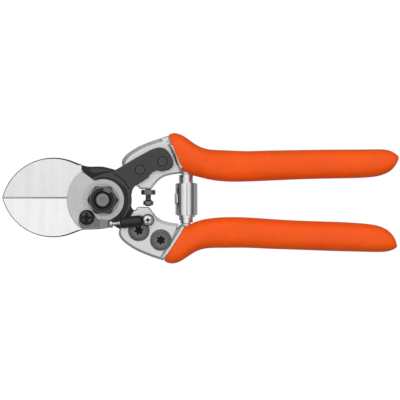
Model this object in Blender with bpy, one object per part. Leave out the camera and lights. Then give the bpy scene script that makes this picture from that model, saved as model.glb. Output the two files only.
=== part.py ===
"""Double-cut pruning shears: two forged half-leaf blades that pass each other, each bolted to a
cast aluminium handle with a dipped grip.

Sizes are millimetres and become metres where a mesh is written. The blade pivot is the Z axis, the
handles point to +X, the upper handle lies at +Y and the nut faces +Z. Z = 0 is the flat rear face
of the pivot bolt's head. The front half (front blade, upper handle) stands still; the rear half
(rear blade, lower handle) swings on the pivot. The shears are closed.
"""

import math

import bmesh
import bpy
from mathutils import Vector

MM = 0.001  # metres in a millimetre
GAP = 0.3  # left between touching pieces

# Stack along the pivot
SHEAR_Z = 9.0  # plane where the two blades meet
BLADE_T = 4.85  # from the shear plane to a hub's ground face
FORGED_T = 4.3  # from the shear plane to the black forged surface
EDGE_T = 0.6  # blade thickness at the cutting edge
SPINE_T = 3.4  # blade thickness at the widest point of the leaf
PLATE_T = 4.6  # from the shear plane to a casting's flat face
NECK_T = 6.5  # from the shear plane to a handle neck's face
GRIP_T = 8.7  # from the shear plane to a grip's face

# Leaf: each half is a segment of a circle, cut by the parting line
PARTING_Y = 1.7
REAR_EDGE_Y = 0.8  # the rear edge lies this far up, hidden behind the front blade
LEAF_R = 29.3
LEAF_X = -27.8
LEAF_MID_Y = 1.45
LEAF_DROP = 7.3  # from the leaf's middle line to the centre of either arc
HUB_R = 20.0  # round end of the ground leaf face, about the pivot
DISC_R = 11.6  # ground seat of the nut
RING_R = 15.4  # black ring around the seat

# Pivot
BOLT_R = 4.0
BOLT_HEAD_FLATS = 13.0
BOLT_HEAD_T = 3.85
BOLT_TOP = 20.9
WASHER_R = 8.5
WASHER_T = 1.0
NUT_FLATS = 14.9
NUT_T = 4.5
BUSH_R = 5.6

# Lower handle: the upper one mirrored, turned and moved by these
LOWER_TURN = math.radians(-1.4)
LOWER_CENTRE = (108.5, -19.5)
LOWER_SHIFT = -1.4

# Screws that hold the blades' tangs in the castings
UPPER_SCREWS = ((20.1, 16.7), (32.6, 21.3))
LOWER_SCREWS = ((19.6, -16.8), (31.7, -22.1))
SCREW_R = 2.5
SCREW_HEAD_R = 5.6
SCREW_HEAD_T = 2.0
STAR_R = 2.1
STAR_DEPTH = 1.4

# Nut lock screw and keeper plate on the front blade's heel
LOCK_XY = (-9.0, -9.6)
LOCK_R = 1.8
LOCK_HEAD_R = 4.2
LOCK_HEAD_T = 2.3
LOCK_END_Z = 10.4
KEEPER_SEAT = 12.85  # floor of its pocket in the blade
KEEPER_TOP = 14.1

# Closing stop between the handles
STOP_X = 24.6
STOP_Z = 6.7
STOP_R = 1.55
STOP_TIP_Y = -3.55
STOP_TOP_Y = 9.5
STOP_HEAD_R = 2.85
STOP_TRAVEL = 1.2
STOP_NUT_Y = (2.9, 5.6)
STOP_NUT_FLATS = 7.0
LUG_Y = 5.9
LUG_HALF_T = 3.7

# Catch: a barrel that turns on the lower handle, with a sprung plunger
CATCH_XY = (24.7, -11.0)
CATCH_TURN = math.radians(186.0)
CATCH_Z = 17.6
BARREL_R = 3.1
BARREL_X = (3.3, 15.4)
BORE_R = 2.2
BORE_X = (5.0, 14.3)
EYE_R = 3.3
EYE_Z = (14.7, 17.35)
PLUNGER_R = 1.0
PLUNGER_X = (8.0, 19.8)
SHOULDER_X = (12.8, 14.0)
COLLAR_X = (19.6, 21.3)
COLLAR_R = 2.3
CATCH_SCREW_R = 1.25
CATCH_SCREW_Z = (10.6, 17.65)
CATCH_HEAD_R = 2.9
CATCH_HEAD_T = 2.0
WAVE_R = 3.0
WAVE_Z = (13.9, 14.4)
SPRING_TURNS = 6
SPRING_WIRE_R = 0.22
SPRING_COIL_R = 1.55
SPRING_X = (5.4, 12.4)

# Volute spring between the handles
VOLUTE_X = 45.8
VOLUTE_PROFILE = ((14.0, 3.5), (9.6, 3.6), (9.1, 6.05), (-8.3, 6.05), (-8.9, 4.4), (-13.0, 3.5))
VOLUTE_WALL = 0.8
PEG_R = 2.2
PEG_LENGTH = 4.5
PEG_SEAT_R = 3.2
PEG_NOTCH_R = 3.95  # clearance cut in a grip's root

# Grips: outer and inner edge of each station along the upper handle, root to tip
ROOT_UPPER = (((35.9, 36.1), (44.2, 15.1)), ((39.0, 37.4), (47.2, 14.2)), ((43.5, 36.1), (50.5, 13.4)))
ROOT_LOWER = (((35.3, 35.6), (47.6, 15.5)), ((39.0, 37.2), (50.0, 13.9)), ((44.0, 35.6), (52.8, 13.2)))
BAR = (
    ((48.9, 32.2), (54.8, 12.4)),
    ((54.5, 28.9), (59.5, 11.2)),
    ((62.0, 27.7), (65.0, 10.4)),
    ((78.7, 27.1), (78.7, 10.1)),
    ((92.0, 27.6), (92.0, 10.7)),
    ((125.0, 28.1), (125.0, 11.8)),
    ((143.0, 28.2), (143.0, 12.1)),
    ((153.5, 28.2), (152.5, 13.3)),
    ((159.6, 27.2), (158.2, 15.6)),
    ((163.3, 24.4), (162.0, 19.8)),
)
GRIP_WALL = 2.0
GRIP_SIDES = 16
GRIP_SQUARE = 2.6  # exponent of the rounded section
GRIP_TIP = 0.62  # depth of the last station, as a share of the full depth

SEGMENTS = 32  # round pieces
SMALL_SEGMENTS = 16


# ---------------------------------------------------------------- outlines


def arc(centre, radius, start, end, steps):
    """Points along a circular arc between two angles in degrees, ends included."""
    angles = [math.radians(start + (end - start) * i / steps) for i in range(steps + 1)]
    return [(centre[0] + radius * math.cos(a), centre[1] + radius * math.sin(a)) for a in angles]


def curve(points, steps=4):
    """Catmull-Rom curve through the points, ends included."""
    first = (2 * points[0][0] - points[1][0], 2 * points[0][1] - points[1][1])
    last = (2 * points[-1][0] - points[-2][0], 2 * points[-1][1] - points[-2][1])
    padded = [first, *points, last]
    found = []
    for p0, p1, p2, p3 in zip(padded, padded[1:], padded[2:], padded[3:]):
        for i in range(steps):
            t = i / steps
            found.append(
                tuple(
                    0.5
                    * (
                        2 * b
                        + (c - a) * t
                        + (2 * a - 5 * b + 4 * c - d) * t * t
                        + (3 * b - a - 3 * c + d) * t**3
                    )
                    for a, b, c, d in zip(p0, p1, p2, p3)
                )
            )
    return [*found, points[-1]]


def to_lower(points):
    """The upper handle's points carried to the lower handle."""
    turn, (cx, cy) = LOWER_TURN, LOWER_CENTRE
    moved = []
    for x, y in points:
        dx, dy = x - cx, -y - cy
        moved.append(
            (
                cx + dx * math.cos(turn) - dy * math.sin(turn) + LOWER_SHIFT,
                cy + dx * math.sin(turn) + dy * math.cos(turn),
            )
        )
    return moved


def leaf_arc(side, start_x, end_x, steps):
    """The leaf's outer edge above (side 1) or below (side -1) its middle line, between two x."""
    centre_y = LEAF_MID_Y - side * LEAF_DROP
    ends = [math.degrees(math.acos((x - LEAF_X) / LEAF_R)) for x in (start_x, end_x)]
    return arc((LEAF_X, centre_y), LEAF_R, side * ends[0], side * ends[1], steps)


TIP_X = LEAF_X - math.sqrt(LEAF_R**2 - (LEAF_DROP - LEAF_MID_Y + PARTING_Y) ** 2)

TANG = (
    curve([(15.3, 3.4), (16.5, 6.6), (18.3, 8.3)], 2)
    + [(24.4, 12.2)]
    + curve([(25.9, 14.3), (27.6, 15.8), (29.8, 16.3), (32.6, 15.8), (36.2, 16.8)], 2)
    + curve([(38.3, 18.6), (38.4, 21.8), (36.8, 25.2), (34.2, 28.1), (30.6, 29.0), (26.0, 27.6)], 3)
    + [(17.4, 22.9), (10.7, 18.9)]
    + curve([(6.6, 16.6), (3.1, 15.3), (-1.5, 14.2), (-6.7, 11.9)], 2)
)
SECTOR_CORNER = [(-11.6, 15.8), (-12.5, 15.6)]


def front_outline():
    """Front blade seen from the front, counter-clockwise from its tip."""
    sector_start = math.degrees(math.asin(PARTING_Y / HUB_R))
    return (
        leaf_arc(-1, TIP_X, -17.3, 22)
        + curve([(-14.0, -17.3), (-10.7, -16.4), (-4.1, -16.2), (2.5, -15.5)], 3)
        + arc((0, 0), RING_R, -70, 5, 8)
        + TANG
        + SECTOR_CORNER
        + arc((0, 0), HUB_R, 129, 180 - sector_start, 6)
    )


def rear_outline():
    """Rear blade seen from the front, clockwise from its tip."""
    crown = curve([(-14.0, 20.2), (-10.7, 19.0), (-7.4, 18.5), (-0.8, 18.5), (5.9, 16.9)], 3)
    low_corner = [(-11.6, -15.8), (-12.5, -15.6)]
    edge_start = -180 + math.degrees(math.asin(-REAR_EDGE_Y / HUB_R))
    return (
        leaf_arc(1, TIP_X, -17.3, 22)
        + crown
        + arc((0, 0), RING_R + 1.4, 64, 20, 4)
        + arc((0, 0), RING_R, 10, -5, 2)
        + to_lower(TANG[1:-4])
        + curve([(3.1, -15.3), (-1.5, -14.2), (-6.7, -11.9)], 2)
        + low_corner
        + arc((0, 0), HUB_R, -129, edge_start, 6)
    )


def hub_outline():
    """Ground seat on a hub: the sector, the heel and the disc around the nut."""
    return (
        arc((0, 0), HUB_R - 0.05, 129.3, 232.0, 12)
        + [(-10.6, -16.0), (-4.1, -15.9), (2.7, -15.1), (2.7, -11.3)]
        + arc((0, 0), DISC_R, -75, 114, 20)
        + [(-11.2, 15.4)]
    )


HANDLE_PLATE = (
    arc((0, 0), 19.4, 57, 24.5, 5)
    + [(18.8, 7.4)]
    + [(20.3, LUG_Y + 0.4), (20.9, LUG_Y + 0.15), (25.6, LUG_Y + 0.15), (26.2, LUG_Y + 0.5)]
    + curve([(28.0, 8.7), (30.1, 10.7), (33.2, 12.8), (37.3, 14.0), (42.9, 14.8)], 2)
    + [(34.6, 35.1)]
    + curve([(33.7, 34.9), (28.0, 33.2), (21.9, 30.9), (17.3, 28.6), (12.8, 25.5), (10.3, 22.6)], 2)
    + [(9.8, 21.0)]
)
NECK_START = [(34.3, 31.4), (42.2, 16.1), (42.4, 14.5)]
NECK_END = [(32.9, 34.9)]
LUG = [
    (19.1, 7.0),
    (20.1, LUG_Y),
    (26.1, LUG_Y),
    (28.3, 8.8),
    (29.7, 10.2),
    (27.0, 12.4),
    (24.9, 11.7),
    (19.3, 8.1),
]
KEEPER = [
    (-13.4, -10.6),
    (-13.4, -13.0),
    (-12.0, -15.4),
    (2.4, -15.0),
    (2.4, -11.2),
    (-3.2, -10.7),
    (-4.8, -8.4),
    (-8.4, -6.4),
    (-11.6, -7.6),
]


# ---------------------------------------------------------------- meshes


def prism(outline, low, high):
    """Extrude a closed outline; low and high are heights or functions of x and y."""
    heights = [h if callable(h) else (lambda x, y, h=h: h) for h in (low, high)]
    bm = bmesh.new()
    rings = [[bm.verts.new((x, y, h(x, y))) for x, y in outline] for h in heights]
    bm.faces.new(rings[0])
    bm.faces.new(rings[1])
    for i in range(len(outline)):
        j = (i + 1) % len(outline)
        bm.faces.new((rings[0][i], rings[0][j], rings[1][j], rings[1][i]))
    return finished(bm)


def lathe(profile, segments=SEGMENTS):
    """Turn a closed profile of (radius, height) points about Z; radius 0 closes on the axis."""
    bm = bmesh.new()
    rings = []
    for radius, height in profile:
        if radius == 0:
            rings.append([bm.verts.new((0, 0, height))])
            continue
        angles = [2 * math.pi * i / segments for i in range(segments)]
        rings.append(
            [bm.verts.new((radius * math.cos(a), radius * math.sin(a), height)) for a in angles]
        )
    closed = profile[0][0] > 0 and profile[-1][0] > 0
    pairs = list(zip(rings, rings[1:])) + ([(rings[-1], rings[0])] if closed else [])
    for one, two in pairs:
        for i in range(segments):
            j = (i + 1) % segments
            corners = [one[i % len(one)], one[j % len(one)], two[j % len(two)], two[i % len(two)]]
            bm.faces.new(list(dict.fromkeys(corners)))
    return finished(bm)


def loft(rings):
    """Skin closed rings of points, with flat ends."""
    bm = bmesh.new()
    loops = [[bm.verts.new(p) for p in ring] for ring in rings]
    bm.faces.new(loops[0])
    bm.faces.new(loops[-1])
    for one, two in zip(loops, loops[1:]):
        for i in range(len(one)):
            j = (i + 1) % len(one)
            bm.faces.new((one[i], one[j], two[j], two[i]))
    return finished(bm)


def finished(bm):
    """Turn every face outward."""
    bmesh.ops.recalc_face_normals(bm, faces=bm.faces[:])
    return bm


def regular(sides, flats, turn=0.0):
    """Outline of a regular polygon with the given width across flats."""
    radius = flats / 2 / math.cos(math.pi / sides)
    return arc((0, 0), radius, turn, turn + 360 * (sides - 1) / sides, sides - 1)


def grown(outline, margin):
    """The outline moved outward by a margin; its points run counter-clockwise."""
    moved = []
    for i, here in enumerate(outline):
        before = Vector(here) - Vector(outline[i - 1])
        after = Vector(outline[(i + 1) % len(outline)]) - Vector(here)
        one = Vector((before.y, -before.x)).normalized()
        two = Vector((after.y, -after.x)).normalized()
        moved.append(tuple(Vector(here) + (one + two) * (margin / (1 + one.dot(two)))))
    return moved


def star(radius, points=36):
    """Outline of a six-lobed driver socket."""
    found = []
    for i in range(points):
        angle = 2 * math.pi * i / points
        reach = radius * (1 + 0.14 * math.cos(6 * angle))
        found.append((reach * math.cos(angle), reach * math.sin(angle)))
    return found


def cross(reach, width):
    """Outline of a cross-shaped driver socket."""
    h = width / 2
    arm = [(reach, -h), (reach, h), (h, h)]
    found = []
    for _ in range(4):
        found += arm
        arm = [(-y, x) for x, y in arm]
    return found


# ---------------------------------------------------------------- objects


def material(name, colour, roughness, metallic):
    """A plain finish."""
    made = bpy.data.materials.new(name)
    made.use_nodes = True
    shader = made.node_tree.nodes["Principled BSDF"]
    shader.inputs["Base Color"].default_value = (*colour, 1)
    shader.inputs["Roughness"].default_value = roughness
    shader.inputs["Metallic"].default_value = metallic
    return made


def piece(name, bm, finish, parent=None, at=(0, 0, 0), turn=(0, 0, 0)):
    """A named object from a mesh in millimetres, placed by location and rotation."""
    bmesh.ops.scale(bm, vec=(MM, MM, MM), verts=bm.verts)
    mesh = bpy.data.meshes.new(name)
    bm.to_mesh(mesh)
    bm.free()
    made = bpy.data.objects.new(name, mesh)
    bpy.context.scene.collection.objects.link(made)
    made.location = Vector(at) * MM
    made.rotation_euler = turn
    made.parent = parent
    if finish:
        mesh.materials.append(finish)
        mesh.shade_smooth()
        mesh.set_sharp_from_angle(angle=math.radians(35))
    return made


def axis(name, at, turn=(0, 0, 0), parent=None):
    """An empty on a joint's axis."""
    made = bpy.data.objects.new(name, None)
    bpy.context.scene.collection.objects.link(made)
    made.location = Vector(at) * MM
    made.rotation_euler = turn
    made.parent = parent
    made.empty_display_size = 0.01
    return made


def combine(target, operation, bm, at=(0, 0, 0), turn=(0, 0, 0)):
    """Join or cut the target with a tool shape given in the target's own axes."""
    tool = piece(f"{target.name}_tool", bm, None, target, at, turn)
    tool.hide_render = True
    tool.display_type = "WIRE"
    modifier = target.modifiers.new(operation.title(), "BOOLEAN")
    modifier.operation = operation
    modifier.solver = "EXACT"
    modifier.object = tool


def cylinder(radius, low, high, segments=SEGMENTS):
    """A plain cylinder on Z."""
    return lathe([(0, low), (radius, low), (radius, high), (0, high)], segments)


TO_Y = (-math.pi / 2, 0, 0)  # turns +Z to +Y
TO_MINUS_Y = (math.pi / 2, 0, 0)  # turns +Z to -Y
TO_X = (0, math.pi / 2, 0)  # turns +Z to +X


# ---------------------------------------------------------------- blades


def bored(target, radius, low, high, at=(0, 0), segments=SMALL_SEGMENTS):
    """Cut a round hole on an axis parallel to Z."""
    combine(target, "DIFFERENCE", cylinder(radius, low, high, segments), (*at, 0))


def blade(name, outline, side, finish, parent=None):
    """One forged blade; side is 1 for the front one and -1 for the rear one."""
    parting = PARTING_Y if side == 1 else REAR_EDGE_Y
    slope = (SPINE_T - EDGE_T) / (LEAF_R - LEAF_DROP)

    def ground(_, y):
        return side * (EDGE_T + slope * side * (parting - y))

    forging = prism(outline, side * GAP / 2, side * FORGED_T)
    made = piece(name, forging, finish, parent, (0, 0, SHEAR_Z))
    hub = [(x, side * y) for x, y in hub_outline()]
    combine(made, "UNION", prism(hub, side * 1.0, side * BLADE_T))
    beyond_hub = arc((0, 0), HUB_R, 100, 260, 20) + [(-20, -40), (-75, -40), (-75, 40), (-20, 40)]
    combine(made, "DIFFERENCE", prism(beyond_hub, ground, side * 9.0))
    return made


def make_front_blade(finish):
    """Front blade with the pivot bore, the keeper's pocket and two tapped holes in its tang."""
    made = blade("front_blade", front_outline(), 1, finish)
    bored(made, BOLT_R + GAP, -1, 6, segments=SEGMENTS)
    combine(made, "DIFFERENCE", prism(grown(KEEPER, GAP), KEEPER_SEAT - SHEAR_Z, 8))
    bored(made, LOCK_R + GAP, 1, 8, LOCK_XY)
    for spot in UPPER_SCREWS:
        bored(made, SCREW_R + GAP, -1, 6, spot)


def make_rear_blade(finish, parent):
    """Rear blade with a larger bore for the bushing and two tapped holes in its tang."""
    made = blade("rear_blade", rear_outline(), -1, finish, parent)
    bored(made, BUSH_R + GAP, -6, 1, segments=SEGMENTS)
    for spot in LOWER_SCREWS:
        bored(made, SCREW_R + GAP, -6, 1, spot)


# ---------------------------------------------------------------- handles


def section(outer, inner, depth, inset=0.0):
    """Rounded section across a handle between its outer and inner edge points."""
    outer, inner = Vector((*outer, 0)), Vector((*inner, 0))
    middle = (outer + inner) / 2
    half = (outer - inner) / 2
    half = half.normalized() * (half.length - inset)
    ring = []
    for i in range(GRIP_SIDES):
        angle = 2 * math.pi * (i + 0.5) / GRIP_SIDES
        across = math.copysign(abs(math.cos(angle)) ** (2 / GRIP_SQUARE), math.cos(angle))
        along = math.copysign(abs(math.sin(angle)) ** (2 / GRIP_SQUARE), math.sin(angle))
        ring.append(middle + half * across + Vector((0, 0, (depth - inset) * along)))
    return ring


def grip_sections(root, inset=0.0):
    """Sections from the root of a grip to its tip, inset by a wall where one is given."""
    stations = [*root, *BAR]
    growing = [GRIP_T - 1.2, GRIP_T - 0.6, GRIP_T - 0.2]
    depths = [*growing, *[GRIP_T] * (len(BAR) - 1), GRIP_T * GRIP_TIP]
    return [section(*ends, depth, inset) for ends, depth in zip(stations, depths)]


def placed(points, lower):
    """Outline points as they are, or carried to the lower handle."""
    return to_lower(points) if lower else points


def placed_sections(sections, lower):
    """Sections as they are, or carried to the lower handle."""
    if not lower:
        return sections
    return [
        [Vector((x, y, -p.z)) for p, (x, y) in zip(ring, to_lower([(p.x, p.y) for p in ring]))]
        for ring in sections
    ]


def make_casting(name, lower, finish, parent=None):
    """An aluminium handle: plate, neck, stop lug, the core inside its grip and the spring's peg."""
    side = 1 if lower else -1
    root = ROOT_LOWER if lower else ROOT_UPPER
    plate = prism(placed(HANDLE_PLATE, lower), side * GAP / 2, side * PLATE_T)
    made = piece(name, plate, finish, parent, (0, 0, SHEAR_Z))
    (outer_x, outer_y), (inner_x, inner_y) = root[0]
    cut_line = [(inner_x - 0.4, inner_y - 0.2), (outer_x - 0.4, outer_y - 0.5)]
    neck = placed([*NECK_START, *cut_line, *NECK_END], lower)
    combine(made, "UNION", prism(neck, -NECK_T, NECK_T))
    lug_low = STOP_Z - LUG_HALF_T - SHEAR_Z
    lug_high = PLATE_T - 0.1 if lower else STOP_Z + LUG_HALF_T - SHEAR_Z
    combine(made, "UNION", prism(placed(LUG, lower), lug_low, lug_high))
    core = grip_sections(root, GRIP_WALL + GAP)[:-1]
    first = [p + Vector((-2.5, 0, 0)) for p in core[0]]
    combine(made, "UNION", loft(placed_sections([first, *core], lower)))
    seat_y = (VOLUTE_PROFILE[-1][0] - GAP) if lower else (VOLUTE_PROFILE[0][0] + GAP)
    seat = [(0, 4), (PEG_SEAT_R, 4), (PEG_SEAT_R, 0)]
    peg = [*seat, (PEG_R, 0), (PEG_R, -PEG_LENGTH), (0, -PEG_LENGTH)]
    turn = TO_MINUS_Y if lower else TO_Y
    combine(made, "UNION", lathe(peg, SMALL_SEGMENTS), (VOLUTE_X, seat_y, 0), turn)
    head_seat = side * (PLATE_T - SCREW_HEAD_T - GAP - 0.1)
    for spot in LOWER_SCREWS if lower else UPPER_SCREWS:
        bored(made, SCREW_R + GAP, -side, side * 8, spot)
        bored(made, SCREW_HEAD_R + GAP, head_seat, side * 8, spot, SEGMENTS)
    return made


def make_upper_handle(finish):
    """Upper casting, with the blind hole of the stop screw in its lug."""
    made = make_casting("upper_handle", False, finish)
    hole = cylinder(STOP_R + GAP, LUG_Y - 2, STOP_TOP_Y + STOP_TRAVEL + GAP, SMALL_SEGMENTS)
    combine(made, "DIFFERENCE", hole, (STOP_X, 0, STOP_Z - SHEAR_Z), TO_Y)


def make_lower_handle(finish, parent):
    """Lower casting, with the hole of the catch screw."""
    made = make_casting("lower_handle", True, finish, parent)
    bored(made, CATCH_SCREW_R + GAP, CATCH_SCREW_Z[0] - GAP - SHEAR_Z, 8, CATCH_XY)


def make_grip(name, lower, finish, parent=None):
    """A dipped grip: one skin that folds over at the root and runs back inside."""
    root = ROOT_LOWER if lower else ROOT_UPPER
    outside = grip_sections(root)
    inside = grip_sections(root, GRIP_WALL)[:-1]
    last = [p + Vector((GAP, 0, 0)) for p in inside[-1]]
    skin = loft(placed_sections([last, *reversed(inside), *outside], lower))
    made = piece(name, skin, finish, parent, (0, 0, SHEAR_Z))
    low, high = (-20, -11) if lower else (11, 20)
    notch = cylinder(PEG_NOTCH_R, low, high, SMALL_SEGMENTS)
    combine(made, "DIFFERENCE", notch, (VOLUTE_X, 0, 0), TO_Y)


def make_tang_screw(name, spot, lower, finish, parent=None):
    """A flat-headed screw with a six-lobed socket, from a casting's face into a tang."""
    length = PLATE_T + FORGED_T - 0.2
    profile = [
        (0, -length),
        (SCREW_R, -length),
        (SCREW_R, -SCREW_HEAD_T),
        (SCREW_HEAD_R, -SCREW_HEAD_T),
        (SCREW_HEAD_R, -0.4),
        (SCREW_HEAD_R - 0.4, 0),
        (0, 0),
    ]
    height = SHEAR_Z + (PLATE_T - 0.1) * (1 if lower else -1)
    turn = (0, 0, 0) if lower else (math.pi, 0, 0)
    made = piece(name, lathe(profile), finish, parent, (*spot, height), turn)
    combine(made, "DIFFERENCE", prism(star(STAR_R), -STAR_DEPTH, 1))


# ---------------------------------------------------------------- pivot and heel


def make_pivot(head_finish, nut_finish, washer_finish, bush_finish, rear):
    """Bolt, washer and nut on the front half, and the bushing in the rear blade."""
    rim = BOLT_TOP - 0.6
    shank = [(0, 2), (BOLT_R, 2), (BOLT_R, rim), (BOLT_R - 0.6, BOLT_TOP), (0, BOLT_TOP)]
    bolt = piece("pivot_bolt", lathe(shank), head_finish)
    combine(bolt, "UNION", prism(regular(6, BOLT_HEAD_FLATS, 30), 0, BOLT_HEAD_T))

    washer_z = SHEAR_Z + BLADE_T + GAP
    ring = [(BOLT_R + GAP, 0), (WASHER_R, 0), (WASHER_R, WASHER_T), (BOLT_R + GAP, WASHER_T)]
    piece("pivot_washer", lathe(ring), washer_finish, at=(0, 0, washer_z))

    nut_z = washer_z + WASHER_T + GAP
    nut = piece("pivot_nut", prism(regular(6, NUT_FLATS), 0, NUT_T), nut_finish, at=(0, 0, nut_z))
    corner = NUT_FLATS / 2 / math.cos(math.pi / 6)
    crown = [
        (0, -1),
        (corner + 1, -1),
        (corner + 1, NUT_T - 1.6),
        (NUT_FLATS / 2 - 0.4, NUT_T + 0.01),
        (0, NUT_T + 0.01),
    ]
    combine(nut, "INTERSECT", lathe(crown))
    bored(nut, BOLT_R + GAP, -1, NUT_T + 1, segments=SEGMENTS)

    low, high = -BLADE_T + 0.05, -GAP / 2 - 0.05
    sleeve = [(BOLT_R + GAP, low), (BUSH_R, low), (BUSH_R, high), (BOLT_R + GAP, high)]
    piece("pivot_bushing", lathe(sleeve), bush_finish, rear, (0, 0, SHEAR_Z))


def make_heel_lock(screw_finish, keeper_finish):
    """Keeper plate in the heel's pocket, and the screw that clamps it beside the nut."""
    low, high = KEEPER_SEAT + GAP, KEEPER_TOP
    keeper = piece("keeper_plate", prism(KEEPER, low, high), keeper_finish)
    bored(keeper, LOCK_R + GAP, low - 1, high + 1, LOCK_XY)
    bottom = LOCK_END_Z - KEEPER_TOP - GAP
    profile = [
        (0, bottom),
        (LOCK_R, bottom),
        (LOCK_R, 0),
        (LOCK_HEAD_R, 0),
        (LOCK_HEAD_R, LOCK_HEAD_T - 1.0),
        (LOCK_HEAD_R - 1.2, LOCK_HEAD_T),
        (0, LOCK_HEAD_T),
    ]
    screw = piece("nut_lock_screw", lathe(profile), screw_finish, at=(*LOCK_XY, KEEPER_TOP + GAP))
    combine(screw, "DIFFERENCE", prism(cross(2.4, 0.9), LOCK_HEAD_T - 1.3, LOCK_HEAD_T + 1))


def make_stop(finish):
    """Stop screw and its lock nut, both turned about the stop's own axis."""
    holder = axis("stop_axis", (STOP_X, 0, STOP_Z), TO_Y)
    head_low, head_high = STOP_TIP_Y + 0.7, STOP_TIP_Y + 3.1
    profile = [
        (0, STOP_TIP_Y),
        (1.3, STOP_TIP_Y + 0.2),
        (STOP_HEAD_R - 0.3, head_low),
        (STOP_HEAD_R - 0.3, head_low + 0.4),
        (STOP_R, head_low + 0.4),
        (STOP_R, STOP_TOP_Y),
        (0, STOP_TOP_Y),
    ]
    screw = piece("stop_screw", lathe(profile, SMALL_SEGMENTS), finish, holder)
    combine(screw, "UNION", prism(regular(6, 2 * STOP_HEAD_R * 0.94), head_low, head_high))
    nut = piece("stop_lock_nut", prism(regular(6, STOP_NUT_FLATS), *STOP_NUT_Y), finish, holder)
    bored(nut, STOP_R + GAP, STOP_NUT_Y[0] - 1, STOP_NUT_Y[1] + 1)


# ---------------------------------------------------------------- catch


def make_catch(barrel_finish, bright_finish, spring_finish, rear):
    """Barrel, plunger and spring on the catch's axis, and the screw and wave washer that hold it."""
    holder = axis("catch_axis", (*CATCH_XY, 0), (0, 0, CATCH_TURN), rear)

    hole_r = CATCH_SCREW_R + GAP
    eye = [(hole_r, EYE_Z[0]), (EYE_R, EYE_Z[0]), (EYE_R, EYE_Z[1]), (hole_r, EYE_Z[1])]
    barrel = piece("catch_barrel", lathe(eye), barrel_finish, holder)
    bridge = [(2.2, -2.5), (6, -2.5), (6, 2.5), (2.2, 2.5)]
    combine(barrel, "UNION", prism(bridge, *EYE_Z))
    on_line = (0, 0, CATCH_Z)
    combine(barrel, "UNION", cylinder(BARREL_R, *BARREL_X), on_line, TO_X)
    bore = [
        (0, BORE_X[0]),
        (BORE_R, BORE_X[0]),
        (BORE_R, BORE_X[1]),
        (PLUNGER_R + GAP, BORE_X[1]),
        (PLUNGER_R + GAP, BARREL_X[1] + 1),
        (0, BARREL_X[1] + 1),
    ]
    combine(barrel, "DIFFERENCE", lathe(bore, SMALL_SEGMENTS), on_line, TO_X)

    profile = [
        (0, PLUNGER_X[0]),
        (PLUNGER_R - 0.2, PLUNGER_X[0]),
        (PLUNGER_R - 0.2, SHOULDER_X[0]),
        (BORE_R - GAP, SHOULDER_X[0]),
        (BORE_R - GAP, SHOULDER_X[1]),
        (PLUNGER_R, SHOULDER_X[1]),
        (PLUNGER_R, COLLAR_X[0]),
        (COLLAR_R, COLLAR_X[0]),
        (COLLAR_R, COLLAR_X[1] - 0.4),
        (COLLAR_R - 0.4, COLLAR_X[1]),
        (0, COLLAR_X[1]),
    ]
    piece("catch_plunger", lathe(profile, 24), bright_finish, holder, on_line, TO_X)
    piece("plunger_spring", coil(), spring_finish, holder, on_line, TO_X)

    ring = [(hole_r, WAVE_Z[0]), (WAVE_R, WAVE_Z[0]), (WAVE_R, WAVE_Z[1]), (hole_r, WAVE_Z[1])]
    piece("catch_wave_washer", lathe(ring), bright_finish, rear, (*CATCH_XY, 0))
    low, high = CATCH_SCREW_Z
    screw_profile = [
        (0, low),
        (CATCH_SCREW_R, low),
        (CATCH_SCREW_R, high),
        (CATCH_HEAD_R, high),
        (CATCH_HEAD_R, high + 1.1),
        (CATCH_HEAD_R - 1.0, high + CATCH_HEAD_T),
        (0, high + CATCH_HEAD_T),
    ]
    screw = piece("catch_pivot_screw", lathe(screw_profile, 24), bright_finish, rear, (*CATCH_XY, 0))
    top = high + CATCH_HEAD_T
    combine(screw, "DIFFERENCE", prism(cross(1.7, 0.65), top - 1.1, top + 1))


def coil():
    """The plunger's compression spring, wound about Z."""
    steps = SPRING_TURNS * 12
    rings = []
    for i in range(steps + 1):
        turn = 2 * math.pi * SPRING_TURNS * i / steps
        height = SPRING_X[0] + (SPRING_X[1] - SPRING_X[0]) * i / steps
        outward = Vector((math.cos(turn), math.sin(turn), 0))
        centre = outward * SPRING_COIL_R + Vector((0, 0, height))
        ring = []
        for side in range(6):
            around = math.pi * side / 3
            spoke = outward * math.cos(around) + Vector((0, 0, math.sin(around)))
            ring.append(centre + spoke * SPRING_WIRE_R)
        rings.append(ring)
    return loft(rings)


def make_volute(finish, rear):
    """The volute spring's envelope: a wide middle coil with a neck at each end."""
    outside = [(radius, y) for y, radius in VOLUTE_PROFILE]
    inside = [(radius - VOLUTE_WALL, y) for radius, y in reversed(outside)]
    piece("volute_spring", lathe(outside + inside), finish, rear, (VOLUTE_X, 0, SHEAR_Z), TO_Y)


# ---------------------------------------------------------------- assembly


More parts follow.
